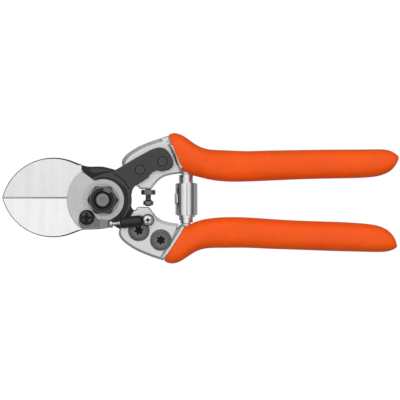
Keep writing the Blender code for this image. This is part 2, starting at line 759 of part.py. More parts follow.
def main():
    """Build every sub-part of the closed shears."""
    for old in list(bpy.data.objects):
        bpy.data.objects.remove(old, do_unlink=True)

    ground_steel = material("ground_steel", (0.62, 0.63, 0.64), 0.32, 1.0)
    dark_steel = material("dark_steel", (0.09, 0.09, 0.095), 0.35, 0.9)
    nut_steel = material("blued_steel", (0.06, 0.06, 0.065), 0.3, 0.9)
    zinc = material("bright_zinc", (0.78, 0.79, 0.8), 0.2, 1.0)
    aluminium = material("cast_aluminium", (0.72, 0.73, 0.74), 0.35, 1.0)
    bronze = material("bronze", (0.55, 0.36, 0.16), 0.35, 1.0)
    orange = material("orange_dip", (1.0, 0.1, 0.008), 0.35, 0.0)
    black = material("black_plastic", (0.02, 0.02, 0.022), 0.45, 0.0)
    spring_steel = material("spring_steel", (0.45, 0.46, 0.48), 0.25, 1.0)

    rear = axis("blade_pivot_axis", (0, 0, 0))
    make_front_blade(ground_steel)
    make_rear_blade(ground_steel, rear)
    make_pivot(nut_steel, nut_steel, dark_steel, bronze, rear)
    make_heel_lock(nut_steel, dark_steel)
    make_upper_handle(aluminium)
    make_lower_handle(aluminium, rear)
    make_grip("upper_grip", False, orange)
    make_grip("lower_grip", True, orange, rear)
    for number, spot in enumerate(UPPER_SCREWS, 1):
        make_tang_screw(f"upper_tang_screw_{number}", spot, False, nut_steel)
    for number, spot in enumerate(LOWER_SCREWS, 1):
        make_tang_screw(f"lower_tang_screw_{number}", spot, True, nut_steel, rear)
    make_stop(dark_steel)
    make_catch(black, zinc, spring_steel, rear)
    make_volute(spring_steel, rear)


main()
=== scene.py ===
"""Looks of a pair of double-cut pruning shears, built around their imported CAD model.

Sizes are millimetres and become metres where a mesh is written. The blade pivot is the Z axis, the
handles point to +X, the upper handle lies at +Y and the pivot nut faces +Z. Heights called "over
the shear plane" are measured from the plane where the two blades meet.
"""

import logging
import math
from abc import ABC, abstractmethod
from collections.abc import Callable, Iterable, Sequence
from dataclasses import dataclass, field
from enum import Enum
from typing import ClassVar

import bmesh
import bpy
from mathutils import Matrix, Vector


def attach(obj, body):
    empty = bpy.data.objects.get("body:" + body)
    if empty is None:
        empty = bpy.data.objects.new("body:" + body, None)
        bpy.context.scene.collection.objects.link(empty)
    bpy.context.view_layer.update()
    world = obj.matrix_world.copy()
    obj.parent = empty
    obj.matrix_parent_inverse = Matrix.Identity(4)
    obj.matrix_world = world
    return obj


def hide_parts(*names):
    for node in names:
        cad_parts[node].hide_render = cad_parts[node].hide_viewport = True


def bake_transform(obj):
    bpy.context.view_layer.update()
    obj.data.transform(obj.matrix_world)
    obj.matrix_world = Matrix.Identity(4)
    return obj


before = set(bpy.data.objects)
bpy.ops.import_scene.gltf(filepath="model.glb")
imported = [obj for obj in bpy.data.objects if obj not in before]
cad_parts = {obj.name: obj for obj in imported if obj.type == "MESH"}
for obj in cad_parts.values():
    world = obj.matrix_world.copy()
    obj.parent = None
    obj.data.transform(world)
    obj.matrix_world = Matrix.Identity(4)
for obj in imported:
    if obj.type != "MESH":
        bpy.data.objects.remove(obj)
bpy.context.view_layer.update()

log = logging.getLogger("shears")

MM = 0.001
SHEAR_Z = 9.0

Flat = tuple[float, float]
Spot = tuple[float, float, float]
Piece = bpy.types.Object
Material = bpy.types.Material
Node = bpy.types.Node
Socket = bpy.types.NodeSocket


class Half(Enum):
    """The two halves of the shears. The value is the side of the shear plane their blade is on."""

    FRONT = 1
    REAR = -1

    @property
    def body(self) -> str:
        """Name of the moving body that carries this half."""
        return "front_half" if self is Half.FRONT else "rear_half"


class Cut(Enum):
    """How one solid acts on another."""

    JOIN = "UNION"
    REMOVE = "DIFFERENCE"
    KEEP_COMMON = "INTERSECT"


class Slot(Enum):
    """Names of the material slots."""

    GROUND = "ground_steel"
    BLUED = "blued_steel"
    DARK = "dark_steel"
    ZINC = "bright_zinc"
    ALUMINIUM = "cast_aluminium"
    BRONZE = "bronze"
    ORANGE = "orange_dip"
    BLACK = "black_plastic"
    SPRING = "spring_steel"


# ------------------------------------------------------------------ outlines


def arc(centre: Flat, radius: float, start: float, end: float, steps: int) -> list[Flat]:
    """Points along a circular arc, both ends included.

    Args:
        centre: Middle of the circle.
        radius: Radius of the circle.
        start: Angle of the first point, in degrees.
        end: Angle of the last point, in degrees.
        steps: Number of stretches between the points.

    Returns:
        The points in order.
    """
    angles = [math.radians(start + (end - start) * i / steps) for i in range(steps + 1)]
    return [(centre[0] + radius * math.cos(a), centre[1] + radius * math.sin(a)) for a in angles]


def curve(points: Sequence[tuple[float, ...]], steps: int = 4) -> list[tuple[float, ...]]:
    """Smooth curve through points of any dimension, both ends included.

    Args:
        points: The points the curve goes through.
        steps: Stretches between one given point and the next.

    Returns:
        The points of the curve.
    """
    first = tuple(2 * a - b for a, b in zip(points[0], points[1]))
    last = tuple(2 * a - b for a, b in zip(points[-1], points[-2]))
    row = [first, *points, last]
    found = []
    for p0, p1, p2, p3 in zip(row, row[1:], row[2:], row[3:]):
        for i in range(steps):
            t = i / steps
            found.append(
                tuple(
                    0.5 * (2 * b + (c - a) * t + (2 * a - 5 * b + 4 * c - d) * t**2 + (
                        3 * b - a - 3 * c + d
                    ) * t**3)
                    for a, b, c, d in zip(p0, p1, p2, p3)
                )
            )
    return [*found, tuple(points[-1])]


def area(outline: Sequence[Flat]) -> float:
    """Signed area of a closed outline, positive when it runs counter-clockwise."""
    pairs = zip(outline, [*outline[1:], outline[0]])
    return sum(x0 * y1 - x1 * y0 for (x0, y0), (x1, y1) in pairs) / 2


def counter_clockwise(outline: Sequence[Flat]) -> list[Flat]:
    """The outline, reversed if it runs clockwise."""
    return list(outline) if area(outline) > 0 else list(reversed(outline))


def inset(outline: Sequence[Flat], width: float | Callable[[float, float], float]) -> list[Flat]:
    """Move a counter-clockwise outline inward, each edge by its own width.

    Args:
        outline: Closed outline.
        width: The distance, or a function of an edge's middle that gives it.

    Returns:
        The inner outline, with as many points.
    """
    count = len(outline)
    sides = []
    for i in range(count):
        a, b = Vector(outline[i]), Vector(outline[(i + 1) % count])
        middle = (a + b) / 2
        reach = width(middle.x, middle.y) if callable(width) else width
        sides.append((Vector((a.y - b.y, b.x - a.x)).normalized(), reach))
    moved = []
    for i, here in enumerate(outline):
        (n1, r1), (n2, r2) = sides[i - 1], sides[i]
        cross = n1.x * n2.y - n1.y * n2.x
        if abs(cross) < 0.3:
            shift = (n1 + n2).normalized() * (r1 + r2) / 2
        else:
            shift = Vector(((r1 * n2.y - r2 * n1.y) / cross, (n1.x * r2 - n2.x * r1) / cross))
        moved.append((here[0] + shift.x, here[1] + shift.y))
    return moved


def polygon(sides: int, flats: float, turn: float = 0.0) -> list[Flat]:
    """Outline of a regular polygon of a width across flats, its first corner at turn degrees.

    Args:
        sides: Number of sides.
        flats: Width across flats.
        turn: Angle of the first corner, in degrees.

    Returns:
        The outline.
    """
    radius = flats / 2 / math.cos(math.pi / sides)
    return arc((0, 0), radius, turn, turn + 360 * (sides - 1) / sides, sides - 1)


def lobes(radius: float, depth: float = 0.2, points: int = 48) -> list[Flat]:
    """Outline of a six-lobed driver socket.

    Args:
        radius: Middle radius.
        depth: Rise and fall of the lobes, as a share of it.
        points: Number of points.

    Returns:
        The outline.
    """
    turns = [2 * math.pi * i / points for i in range(points)]
    reach = [radius * (1 + depth * math.cos(6 * a)) for a in turns]
    return [(r * math.cos(a), r * math.sin(a)) for r, a in zip(reach, turns)]


def cross_slot(reach: float, width: float) -> list[Flat]:
    """Outline of a cross-shaped driver socket, with its inner corners cut off.

    Args:
        reach: From the middle to the end of an arm.
        width: Width of an arm.

    Returns:
        The outline.
    """
    h = width / 2
    arm = [(reach, -h), (reach, h), (h * 1.9, h * 1.1), (h * 1.1, h * 1.9)]
    found = []
    for _ in range(4):
        found += arm
        arm = [(-y, x) for x, y in arm]
    return found


def carried(points: Iterable[Flat]) -> list[Flat]:
    """Upper-handle points carried to the lower handle, its mirror image slightly turned.

    Args:
        points: Points of the upper handle.

    Returns:
        Points of the lower handle.
    """
    turn, cx, cy, shift = math.radians(-1.4), 108.5, -19.5, -1.4
    moved = []
    for x, y in points:
        dx, dy = x - cx, -y - cy
        moved.append(
            (
                cx + dx * math.cos(turn) - dy * math.sin(turn) + shift,
                cy + dx * math.sin(turn) + dy * math.cos(turn)
            )
        )
    return moved


# ------------------------------------------------------------------ workbench


def deselect_all() -> None:
    """Leave edit mode and deselect every object."""
    if bpy.context.object and bpy.context.object.mode != "OBJECT":
        bpy.ops.object.mode_set(mode="OBJECT")
    bpy.ops.object.select_all(action="DESELECT")


def pick(piece: Piece) -> None:
    """Make the piece the only selected and active object.

    Args:
        piece: The piece to pick.
    """
    deselect_all()
    piece.select_set(True)
    bpy.context.view_layer.objects.active = piece


def start_edit() -> None:
    """Enter edit mode on the active object, with everything selected."""
    bpy.ops.object.mode_set(mode="EDIT")
    bpy.ops.mesh.select_all(action="SELECT")


def end_edit(merge: float = 0.0) -> None:
    """Turn every face outward and leave edit mode.

    Args:
        merge: Vertices closer than this, in metres, are merged first; none are at 0.
    """
    bpy.ops.mesh.select_all(action="SELECT")
    if merge:
        bpy.ops.mesh.remove_doubles(threshold=merge)
    bpy.ops.mesh.normals_make_consistent(inside=False)
    bpy.ops.object.mode_set(mode="OBJECT")


def lay(piece: Piece, ring: Sequence[Sequence[float]]) -> None:
    """Put the selected ring of vertices, in edit mode, on the given points.

    Args:
        piece: The piece being edited; its vertices know their seat in the ring.
        ring: One point for each seat, in millimetres.
    """
    mesh = bmesh.from_edit_mesh(piece.data)
    seats = mesh.verts.layers.int.get("seat")
    if seats is None:
        seats = mesh.verts.layers.int.new("seat")
        for number, vertex in enumerate(mesh.verts):
            vertex[seats] = number
    for vertex in mesh.verts:
        if vertex.select:
            vertex.co = Vector(ring[vertex[seats]]) * MM
    bmesh.update_edit_mesh(piece.data)


def skin(name: str, rings: Sequence[Sequence[Sequence[float]]]) -> Piece:
    """Cover rings of points with a closed skin: a disc is extruded from each ring to the next.

    Args:
        name: Name of the piece.
        rings: Closed rings with equally many points, in order.

    Returns:
        The solid, with its faces outward.
    """
    deselect_all()
    bpy.ops.mesh.primitive_circle_add(vertices=len(rings[0]), radius=0.01, fill_type="NGON")
    made = bpy.context.object
    made.name = name
    start_edit()
    lay(made, rings[0])
    for ring in rings[1:]:
        bpy.ops.mesh.extrude_region_move()
        lay(made, ring)
    end_edit()
    made.data.attributes.remove(made.data.attributes["seat"])
    settle(made)
    return made


def settle(piece: Piece) -> None:
    """Put the object at the origin, unturned and unscaled, with its place in its mesh."""
    pick(piece)
    bpy.ops.object.transform_apply(location=True, rotation=True, scale=True)


def prism(name: str, ring: Sequence[Flat], low: float, high: float) -> Piece:
    """An upright solid with the given outline between two heights."""
    return skin(name, [[(x, y, z) for x, y in ring] for z in (low, high)])


def plate(name: str, outline: Sequence[Flat], low: float, high: float) -> Piece:
    """A flat plate between two heights over the shear plane."""
    return prism(name, counter_clockwise(outline), SHEAR_Z + low, SHEAR_Z + high)


def turned(name: str, profile: Sequence[Flat], segments: int = 48) -> Piece:
    """Turn a profile about Z: a circle is extruded, scaled and moved from point to point.

    Args:
        name: Name of the piece.
        profile: Points of radius and height. It starts and ends on the axis, or is a closed section
            of a ring and starts and ends away from it.
        segments: Corners of the circle.

    Returns:
        The solid, with its faces outward.
    """
    hollow = profile[0][0] > 0
    points = [*profile, profile[0]] if hollow else profile[1:-1]
    deselect_all()
    bpy.ops.mesh.primitive_circle_add(
        vertices=segments,
        radius=points[0][0] * MM,
        fill_type="NOTHING" if hollow else "NGON",
        location=(0, 0, points[0][1] * MM),
    )
    made = bpy.context.object
    made.name = name
    start_edit()
    for (r0, z0), (r1, z1) in zip(points, points[1:]):
        bpy.ops.mesh.extrude_region_move(TRANSFORM_OT_translate={"value": (0, 0, (z1 - z0) * MM)})
        scale = r1 / r0
        bpy.ops.transform.resize(value=(scale, scale, 1), center_override=(0, 0, z1 * MM))
    end_edit(1e-7)
    settle(made)
    return made


def rod(name: str, radius: float, low: float, high: float, segments: int = 32) -> Piece:
    """A round rod about Z between two heights."""
    return turned(name, [(0, low), (radius, low), (radius, high), (0, high)], segments)


def stand(piece: Piece, at: Spot, turn: Spot = (0, 0, 0)) -> Piece:
    """Turn the piece by angles in degrees, move it in millimetres, and keep both in its mesh.

    Args:
        piece: The piece.
        at: The move.
        turn: Turns about X, Y and Z, made in that order.

    Returns:
        The same piece.
    """
    piece.matrix_world = (
        Matrix.Translation(Vector(at) * MM)
        @ Matrix.Rotation(math.radians(turn[2]), 4, "Z")
        @ Matrix.Rotation(math.radians(turn[1]), 4, "Y")
        @ Matrix.Rotation(math.radians(turn[0]), 4, "X")
    )
    settle(piece)
    return piece


def twin(piece: Piece, name: str) -> Piece:
    """A copy of the piece with its own mesh.

    Args:
        piece: The piece to copy.
        name: Name of the copy.

    Returns:
        The copy.
    """
    made = piece.copy()
    made.data = piece.data.copy()
    made.name = name
    bpy.context.scene.collection.objects.link(made)
    return made


def apply(piece: Piece, kind: str, **settings: object) -> None:
    """Add a modifier with the given settings and apply it.

    Args:
        piece: The piece.
        kind: The modifier's type.
        **settings: Properties of the modifier.
    """
    pick(piece)
    modifier = piece.modifiers.new(kind.title(), kind)
    for name, value in settings.items():
        setattr(modifier, name, value)
    bpy.ops.object.modifier_apply(modifier=modifier.name)


def act(target: Piece, how: Cut, *tools: Piece) -> Piece:
    """Join tools to the target, cut them from it or keep what both fill; they are used up.

    Args:
        target: The piece that stays.
        how: What the tools do to it.
        *tools: The other solids.

    Returns:
        The target.
    """
    for tool in tools:
        apply(
            target, "BOOLEAN", operation=how.value, solver="EXACT", object=tool,
            material_mode="TRANSFER"
        )
        bpy.data.meshes.remove(tool.data)
    return target


def soften(piece: Piece, width: float, segments: int = 3, angle: float = 40.0) -> Piece:
    """Round the edges sharper than an angle in degrees.

    Args:
        piece: The piece.
        width: Width of the rounding, in millimetres.
        segments: Faces across it.
        angle: The angle.

    Returns:
        The same piece.
    """
    apply(
        piece,
        "BEVEL",
        width=width * MM,
        segments=segments,
        limit_method="ANGLE",
        angle_limit=math.radians(angle),
        miter_outer="MITER_ARC",
    )
    return piece


def polish(piece: Piece, angle: float = 34.0) -> Piece:
    """Shade the faces smooth up to an angle in degrees and keep flat faces flat at their rims.

    Args:
        piece: The piece.
        angle: The angle.

    Returns:
        The same piece.
    """
    pick(piece)
    bpy.ops.object.shade_smooth_by_angle(angle=math.radians(angle))
    apply(piece, "WEIGHTED_NORMAL", keep_sharp=True, weight=60)
    return piece


def mount(piece: Piece, body: str, slot: Slot, *nodes: str) -> Piece:
    """Let the finished piece ride on a body and stand for CAD nodes, which are hidden.

    Args:
        piece: The piece.
        body: The moving body.
        slot: The slot; not used.
        *nodes: Names of the CAD nodes.

    Returns:
        The same piece.
    """
    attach(piece, body)
    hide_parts(*nodes)
    log.info(
        "%s: %d faces, for %s", piece.name, len(piece.data.polygons), ", ".join(nodes) or "no node"
    )
    return piece


# ------------------------------------------------------------------ finishes


class Wiring:
    """Adds and joins the nodes of one material or node group."""

    def __init__(self, tree: bpy.types.NodeTree) -> None:
        """Work on one node tree."""
        self.tree = tree

    def node(self, kind: str, **settings: object) -> Node:
        """Add a node and set its properties.

        Args:
            kind: The node's type.
            **settings: Properties of the node.

        Returns:
            The node.
        """
        made = self.tree.nodes.new(kind)
        for name, value in settings.items():
            setattr(made, name, value)
        return made

    def feed(self, socket: Socket, value: object) -> None:
        """Give a socket a value, or join it to another node's output.

        Args:
            socket: The input.
            value: The value or the output.
        """
        if isinstance(value, Socket):
            self.tree.links.new(value, socket)
        else:
            socket.default_value = value

    def calc(self, operation: str, *values: object, clamp: bool = False) -> Socket:
        """Result of a Math node on numbers or sockets.

        Args:
            operation: The node's operation.
            *values: Its inputs in order.
            clamp: Whether the result is held from 0 to 1.

        Returns:
            The result.
        """
        made = self.node("ShaderNodeMath", operation=operation, use_clamp=clamp)
        for socket, value in zip(made.inputs, values):
            self.feed(socket, value)
        return made.outputs[0]

    def vector(self, operation: str, *values: object) -> Socket:
        """Result of a Vector Math node; a dot product or length comes out as a number.

        Args:
            operation: The node's operation.
            *values: Its inputs in order.

        Returns:
            The result.
        """
        made = self.node("ShaderNodeVectorMath", operation=operation)
        for socket, value in zip(made.inputs, values):
            self.feed(socket, value)
        return made.outputs["Value" if operation in ("DOT_PRODUCT", "LENGTH") else "Vector"]

    def weigh(self, one: object, share: float, two: object, rest: float) -> Socket:
        """Sum of two values, each times its own weight."""
        return self.calc("ADD", self.calc("MULTIPLY", one, share), self.calc("MULTIPLY", two, rest))

    def noise(
        self, place: object, scale: object, detail: float = 3.0, rough: float = 0.5
    ) -> Socket:
        """Value of a Noise Texture at a place.

        Args:
            place: The place.
            scale: Grains in a metre.
            detail: Finer layers.
            rough: Strength of the finer layers.

        Returns:
            The value.
        """
        made = self.node("ShaderNodeTexNoise")
        self.feed(made.inputs["Vector"], place)
        self.feed(made.inputs["Scale"], scale)
        made.inputs["Detail"].default_value = detail
        made.inputs["Roughness"].default_value = rough
        return made.outputs["Fac"]

    def spread(
        self, value: object, low: float, high: float, to_low: float = 0.0, to_high: float = 1.0
    ) -> object:
        """Map a value from one range to another, held inside it.

        Args:
            value: The value.
            low: Start of its range.
            high: End of its range.
            to_low: Start of the new range.
            to_high: End of the new range.

        Returns:
            The mapped value.
        """
        made = self.node("ShaderNodeMapRange")
        for name, number in (
            ("Value", value), ("From Min", low), ("From Max", high), ("To Min", to_low),
            ("To Max", to_high),
        ):
            self.feed(made.inputs[name], number)
        return made.outputs["Result"]

    def blend(self, share: object, one: object, two: object) -> Socket:
        """Colour between two colours.

        Args:
            share: Share of the second colour.
            one: The first colour.
            two: The second colour.

        Returns:
            The colour.
        """
        made = self.node("ShaderNodeMix", data_type="RGBA")
        self.feed(made.inputs["Factor"], share)
        self.feed(made.inputs[6], one)
        self.feed(made.inputs[7], two)
        return made.outputs[2]

    def choose(self, share: object, one: Socket, two: Socket) -> Socket:
        """Shader between two shaders.

        Args:
            share: Share of the second shader.
            one: The first shader.
            two: The second shader.

        Returns:
            The shader.
        """
        made = self.node("ShaderNodeMixShader")
        for socket, value in zip(made.inputs, (share, one, two)):
            self.feed(socket, value)
        return made.outputs[0]


class Coat(Wiring):
    """The nodes of one material: its shader and the place of each point on the piece."""

    def __init__(self, material: Material) -> None:
        """Work on one material.

        Args:
            material: The material.
        """
        super().__init__(material.node_tree)
        self.shader = material.node_tree.nodes["Principled BSDF"]
        self.place = self.node("ShaderNodeTexCoord").outputs["Object"]

    def put(self, name: str, value: object) -> None:
        """Give one of the shader's inputs a value, or join it to an output."""
        self.feed(self.shader.inputs[name], value)

    def relief(self, height: object, depth: float) -> None:
        """Feed a height, with a depth in millimetres, to the shader's normal.

        Args:
            height: The height, from 0 to 1.
            depth: Depth of the full height.
        """
        bump = self.node("ShaderNodeBump")
        bump.inputs["Strength"].default_value = 1.0
        bump.inputs["Distance"].default_value = depth * MM
        self.feed(bump.inputs["Height"], height)
        self.put("Normal", bump.outputs["Normal"])


class Effect(ABC):
    """A surface effect that several finishes use, built once as a node group."""

    title: ClassVar[str]
    sockets_in: ClassVar[tuple[tuple[str, str, object], ...]]
    sockets_out: ClassVar[tuple[tuple[str, str], ...]]

    @classmethod
    def group(cls) -> bpy.types.NodeTree:
        """The effect's node group, made on first use.

        Returns:
            The node group.
        """
        found = bpy.data.node_groups.get(cls.title)
        if found:
            return found
        made = bpy.data.node_groups.new(cls.title, "ShaderNodeTree")
        for name, kind, value in cls.sockets_in:
            socket = made.interface.new_socket(name, in_out="INPUT", socket_type=kind)
            if value is not None:
                socket.default_value = value
        for name, kind in cls.sockets_out:
            made.interface.new_socket(name, in_out="OUTPUT", socket_type=kind)
        wires = Wiring(made)
        start = wires.node("NodeGroupInput")
        end = wires.node("NodeGroupOutput")
        cls.fill(wires, start, end)
        return made

    @staticmethod
    @abstractmethod
    def fill(wires: Wiring, start: Node, end: Node) -> None:
        """Build the group's nodes between its inputs and outputs.

        Args:
            wires: The group's nodes.
            start: The group's inputs.
            end: The group's outputs.
        """

    @classmethod
    def use(cls, coat: Coat, **values: object) -> Node:
        """Place the effect in a material, with its own values.

        Args:
            coat: The material's nodes.
            **values: Values of the effect's inputs.

        Returns:
            The effect's node.
        """
        made = coat.node("ShaderNodeGroup", node_tree=cls.group())
        for name, value in {"Place": coat.place, **values}.items():
            coat.feed(made.inputs[name], value)
        return made


class GrindMarks(Effect):
    """Fine parallel scratches with broader bands, left by a grinding belt."""

    title = "Grind marks"
    sockets_in = (
        ("Place", "NodeSocketVector", None), ("Across", "NodeSocketVector", (1.0, 0.03, 1.0)),
        ("Fineness", "NodeSocketFloat", 3000.0),
    )
    sockets_out = (("Marks", "NodeSocketFloat"), ("Bands", "NodeSocketFloat"))

    @staticmethod
    def fill(wires: Wiring, start: Node, end: Node) -> None:
        """Stretch noise along the grinding direction, once fine and once broad.

        Args:
            wires: The group's nodes.
            start: The group's inputs.
            end: The group's outputs.
        """
        squeezed = wires.vector("MULTIPLY", start.outputs["Place"], start.outputs["Across"])
        fine = wires.noise(squeezed, start.outputs["Fineness"], 4.0, 0.6)
        broad = wires.noise(squeezed, wires.calc("DIVIDE", start.outputs["Fineness"], 14.0), 2.0)
        wires.feed(end.inputs["Marks"], wires.spread(fine, 0.3, 0.7))
        wires.feed(end.inputs["Bands"], wires.spread(broad, 0.32, 0.68))


class LatheMarks(Effect):
    """Rings round the Z axis through a centre, left by a turning tool."""

    title = "Lathe marks"
    sockets_in = (
        ("Place", "NodeSocketVector", None), ("Centre", "NodeSocketVector", (0.0, 0.0, 0.0)),
        ("Fineness", "NodeSocketFloat", 2500.0),
    )
    sockets_out = (("Marks", "NodeSocketFloat"), ("Bands", "NodeSocketFloat"))

    @staticmethod
    def fill(wires: Wiring, start: Node, end: Node) -> None:
        """Noise that changes with the distance from the axis and little round it.

        Args:
            wires: The group's nodes.
            start: The group's inputs.
            end: The group's outputs.
        """
        moved = wires.vector("SUBTRACT", start.outputs["Place"], start.outputs["Centre"])
        flat = wires.vector("MULTIPLY", moved, (1.0, 1.0, 0.0))
        reach = wires.vector("LENGTH", flat)
        line = wires.node("ShaderNodeCombineXYZ")
        wires.feed(line.inputs["X"], reach)
        drift = wires.vector("MULTIPLY", moved, (0.02, 0.02, 0.02))
        seat = wires.vector("ADD", line.outputs[0], drift)
        fine = wires.noise(seat, start.outputs["Fineness"], 3.0, 0.6)
        broad = wires.noise(seat, wires.calc("DIVIDE", start.outputs["Fineness"], 5.0), 1.0)
        wires.feed(end.inputs["Marks"], wires.spread(fine, 0.3, 0.7))
        wires.feed(end.inputs["Bands"], wires.spread(broad, 0.35, 0.65))


class CastSkin(Effect):
    """Pebbled skin of a forging or casting, with a scatter of darker specks."""

    title = "Cast skin"
    sockets_in = (("Place", "NodeSocketVector", None), ("Grain", "NodeSocketFloat", 1400.0))
    sockets_out = (("Pebbles", "NodeSocketFloat"), ("Specks", "NodeSocketFloat"))

    @staticmethod
    def fill(wires: Wiring, start: Node, end: Node) -> None:
        """Cells for the pebbles and high-contrast noise for the specks.

        Args:
            wires: The group's nodes.
            start: The group's inputs.
            end: The group's outputs.
        """
        cells = wires.node("ShaderNodeTexVoronoi", feature="SMOOTH_F1")
        wires.feed(cells.inputs["Vector"], start.outputs["Place"])
        wires.feed(cells.inputs["Scale"], start.outputs["Grain"])
        soft = wires.noise(start.outputs["Place"], start.outputs["Grain"], 3.0)
        both = wires.calc("ADD", wires.calc("MULTIPLY", cells.outputs["Distance"], 0.5), soft)
        specks = wires.noise(
            start.outputs["Place"], wires.calc("MULTIPLY", start.outputs["Grain"], 1.7), 2.0, 0.7
        )
        wires.feed(end.inputs["Pebbles"], both)
        wires.feed(end.inputs["Specks"], wires.spread(specks, 0.5, 0.72))


class Handling(Effect):
    """Broad uneven patches, as left by wiping, oil and fingers."""

    title = "Handling"
    sockets_in = (("Place", "NodeSocketVector", None), ("Patch", "NodeSocketFloat", 90.0))
    sockets_out = (("Patches", "NodeSocketFloat"),)

    @staticmethod
    def fill(wires: Wiring, start: Node, end: Node) -> None:
        """Two sizes of soft noise on each other.

        Args:
            wires: The group's nodes.
            start: The group's inputs.
            end: The group's outputs.
        """
        large = wires.noise(start.outputs["Place"], start.outputs["Patch"], 2.0)
        small = wires.noise(
            start.outputs["Place"], wires.calc("MULTIPLY", start.outputs["Patch"], 4.0), 3.0
        )
        both = wires.weigh(large, 0.65, small, 0.35)
        wires.feed(end.inputs["Patches"], wires.spread(both, 0.35, 0.65))


class EdgeWear(Effect):
    """Mask of the outer edges, broken up by noise, where a dark coat rubs through."""

    title = "Edge wear"
    sockets_in = (
        ("Place", "NodeSocketVector", None), ("Width", "NodeSocketFloat", 0.0004),
        ("Amount", "NodeSocketFloat", 0.5),
    )
    sockets_out = (("Worn", "NodeSocketFloat"),)

    @staticmethod
    def fill(wires: Wiring, start: Node, end: Node) -> None:
        """Compare the true normal with one rounded over the edge.

        Args:
            wires: The group's nodes.
            start: The group's inputs.
            end: The group's outputs.
        """
        round_over = wires.node("ShaderNodeBevel", samples=6)
        wires.feed(round_over.inputs["Radius"], start.outputs["Width"])
        surface = wires.node("ShaderNodeNewGeometry")
        along = wires.vector("DOT_PRODUCT", round_over.outputs[0], surface.outputs["Normal"])
        edge = wires.spread(along, 0.995, 0.86)
        patchy = wires.spread(wires.noise(start.outputs["Place"], 900.0, 3.0, 0.7), 0.35, 0.62)
        rubbed = wires.calc(
            "MULTIPLY", edge, wires.calc("ADD", 0.35, wires.calc("MULTIPLY", patchy, 0.65))
        )
        wires.feed(
            end.inputs["Worn"], wires.calc("MULTIPLY", rubbed, start.outputs["Amount"], clamp=True)
        )


class Direction(Enum):
    """Which way a ground surface is brushed. The value stretches the pattern's place."""

    ALONG_Y = (1.0, 0.025, 1.0)
    SLANTED = (0.4, 1.0, 1.0)


Colour = tuple[float, float, float]


@dataclass(frozen=True)
class Finish(ABC):
    """A surface finish that can make its material."""

    name: str
    colour: Colour
    roughness: float = 0.35

    def material(self) -> Material:
        """The finish's material, made on first use.

        Returns:
            The material.
        """
        title = f"{self.name}_finish"
        found = bpy.data.materials.get(title)
        if found:
            return found
        made = bpy.data.materials.new(title)
        made.use_nodes = True
        self.paint(Coat(made))
        return made

    @abstractmethod
    def paint(self, coat: Coat) -> None:
        """Build the nodes that feed the shader.

        Args:
            coat: The material's nodes.
        """

    def shade(self, factor: float) -> tuple[float, float, float, float]:
        """The finish's colour, made lighter or darker."""
        return (*(min(1.0, c * factor) for c in self.colour), 1.0)

    def gloss(self, coat: Coat, patches: object, less: float, more: float) -> None:
        """Let the roughness drift with a pattern, round the finish's own.

        Args:
            coat: The material's nodes.
            patches: The pattern, from 0 to 1.
            less: How far the roughness falls where the pattern is 0.
            more: How far it rises where the pattern is 1.
        """
        drift = coat.spread(patches, 0.0, 1.0, self.roughness - less, self.roughness + more)
        coat.put("Roughness", drift)


@dataclass(frozen=True)
class GroundSteel(Finish):
    """Belt-ground bare steel."""

    direction: Direction = Direction.ALONG_Y
    fineness: float = 3200.0
    contrast: float = 0.06
    depth: float = 0.004

    def paint(self, coat: Coat) -> None:
        """Streaks in colour, gloss and relief.

        Args:
            coat: The material's nodes.
        """
        marks = GrindMarks.use(coat, Across=self.direction.value, Fineness=self.fineness)
        patches = Handling.use(coat, Patch=70.0).outputs[0]
        tone = coat.weigh(marks.outputs["Bands"], 0.6, marks.outputs["Marks"], 0.4)
        colour = coat.blend(tone, self.shade(1 - self.contrast), self.shade(1 + self.contrast))
        coat.put("Base Color", colour)
        coat.put("Metallic", 1.0)
        self.gloss(coat, patches, 0.04, 0.05)
        coat.relief(marks.outputs["Marks"], self.depth)


@dataclass(frozen=True)
class TurnedSteel(Finish):
    """Bare or blued steel with rings from the lathe, round its own axis."""

    centre: Flat = (0.0, 0.0)
    fineness: float = 2600.0
    contrast: float = 0.08
    wear: float = 0.0
    worn_colour: Colour = (0.5, 0.5, 0.51)

    def paint(self, coat: Coat) -> None:
        """Rings in colour and relief, uneven gloss and, on a blued piece, rubbed edges.

        Args:
            coat: The material's nodes.
        """
        centre = (self.centre[0] * MM, self.centre[1] * MM, 0.0)
        marks = LatheMarks.use(coat, Centre=centre, Fineness=self.fineness)
        patches = Handling.use(coat, Patch=220.0).outputs[0]
        tone = coat.weigh(marks.outputs["Bands"], 0.6, patches, 0.4)
        colour = coat.blend(tone, self.shade(1 - self.contrast), self.shade(1 + self.contrast))
        if self.wear:
            worn = EdgeWear.use(coat, Amount=self.wear).outputs[0]
            colour = coat.blend(worn, colour, (*self.worn_colour, 1.0))
        coat.put("Base Color", colour)
        coat.put("Metallic", 1.0)
        self.gloss(coat, patches, 0.06, 0.08)
        coat.relief(marks.outputs["Marks"], 0.006)


@dataclass(frozen=True)
class ForgedBlack(Finish):
    """Black-oxide forging: dark, faintly pebbled, a little oily."""

    grain: float = 1500.0
    wear: float = 0.25

    def paint(self, coat: Coat) -> None:
        """Specks, pebbles, oily patches and lightly rubbed edges.

        Args:
            coat: The material's nodes.
        """
        skin_marks = CastSkin.use(coat, Grain=self.grain)
        patches = Handling.use(coat, Patch=120.0).outputs[0]
        worn = EdgeWear.use(coat, Width=0.0003, Amount=self.wear).outputs[0]
        base = coat.blend(patches, self.shade(0.86), self.shade(1.12))
        speckled = coat.blend(skin_marks.outputs["Specks"], base, self.shade(0.55))
        coat.put("Base Color", coat.blend(worn, speckled, self.shade(2.6)))
        coat.put("Metallic", 0.35)
        self.gloss(coat, patches, 0.05, 0.1)
        coat.relief(skin_marks.outputs["Pebbles"], 0.03)


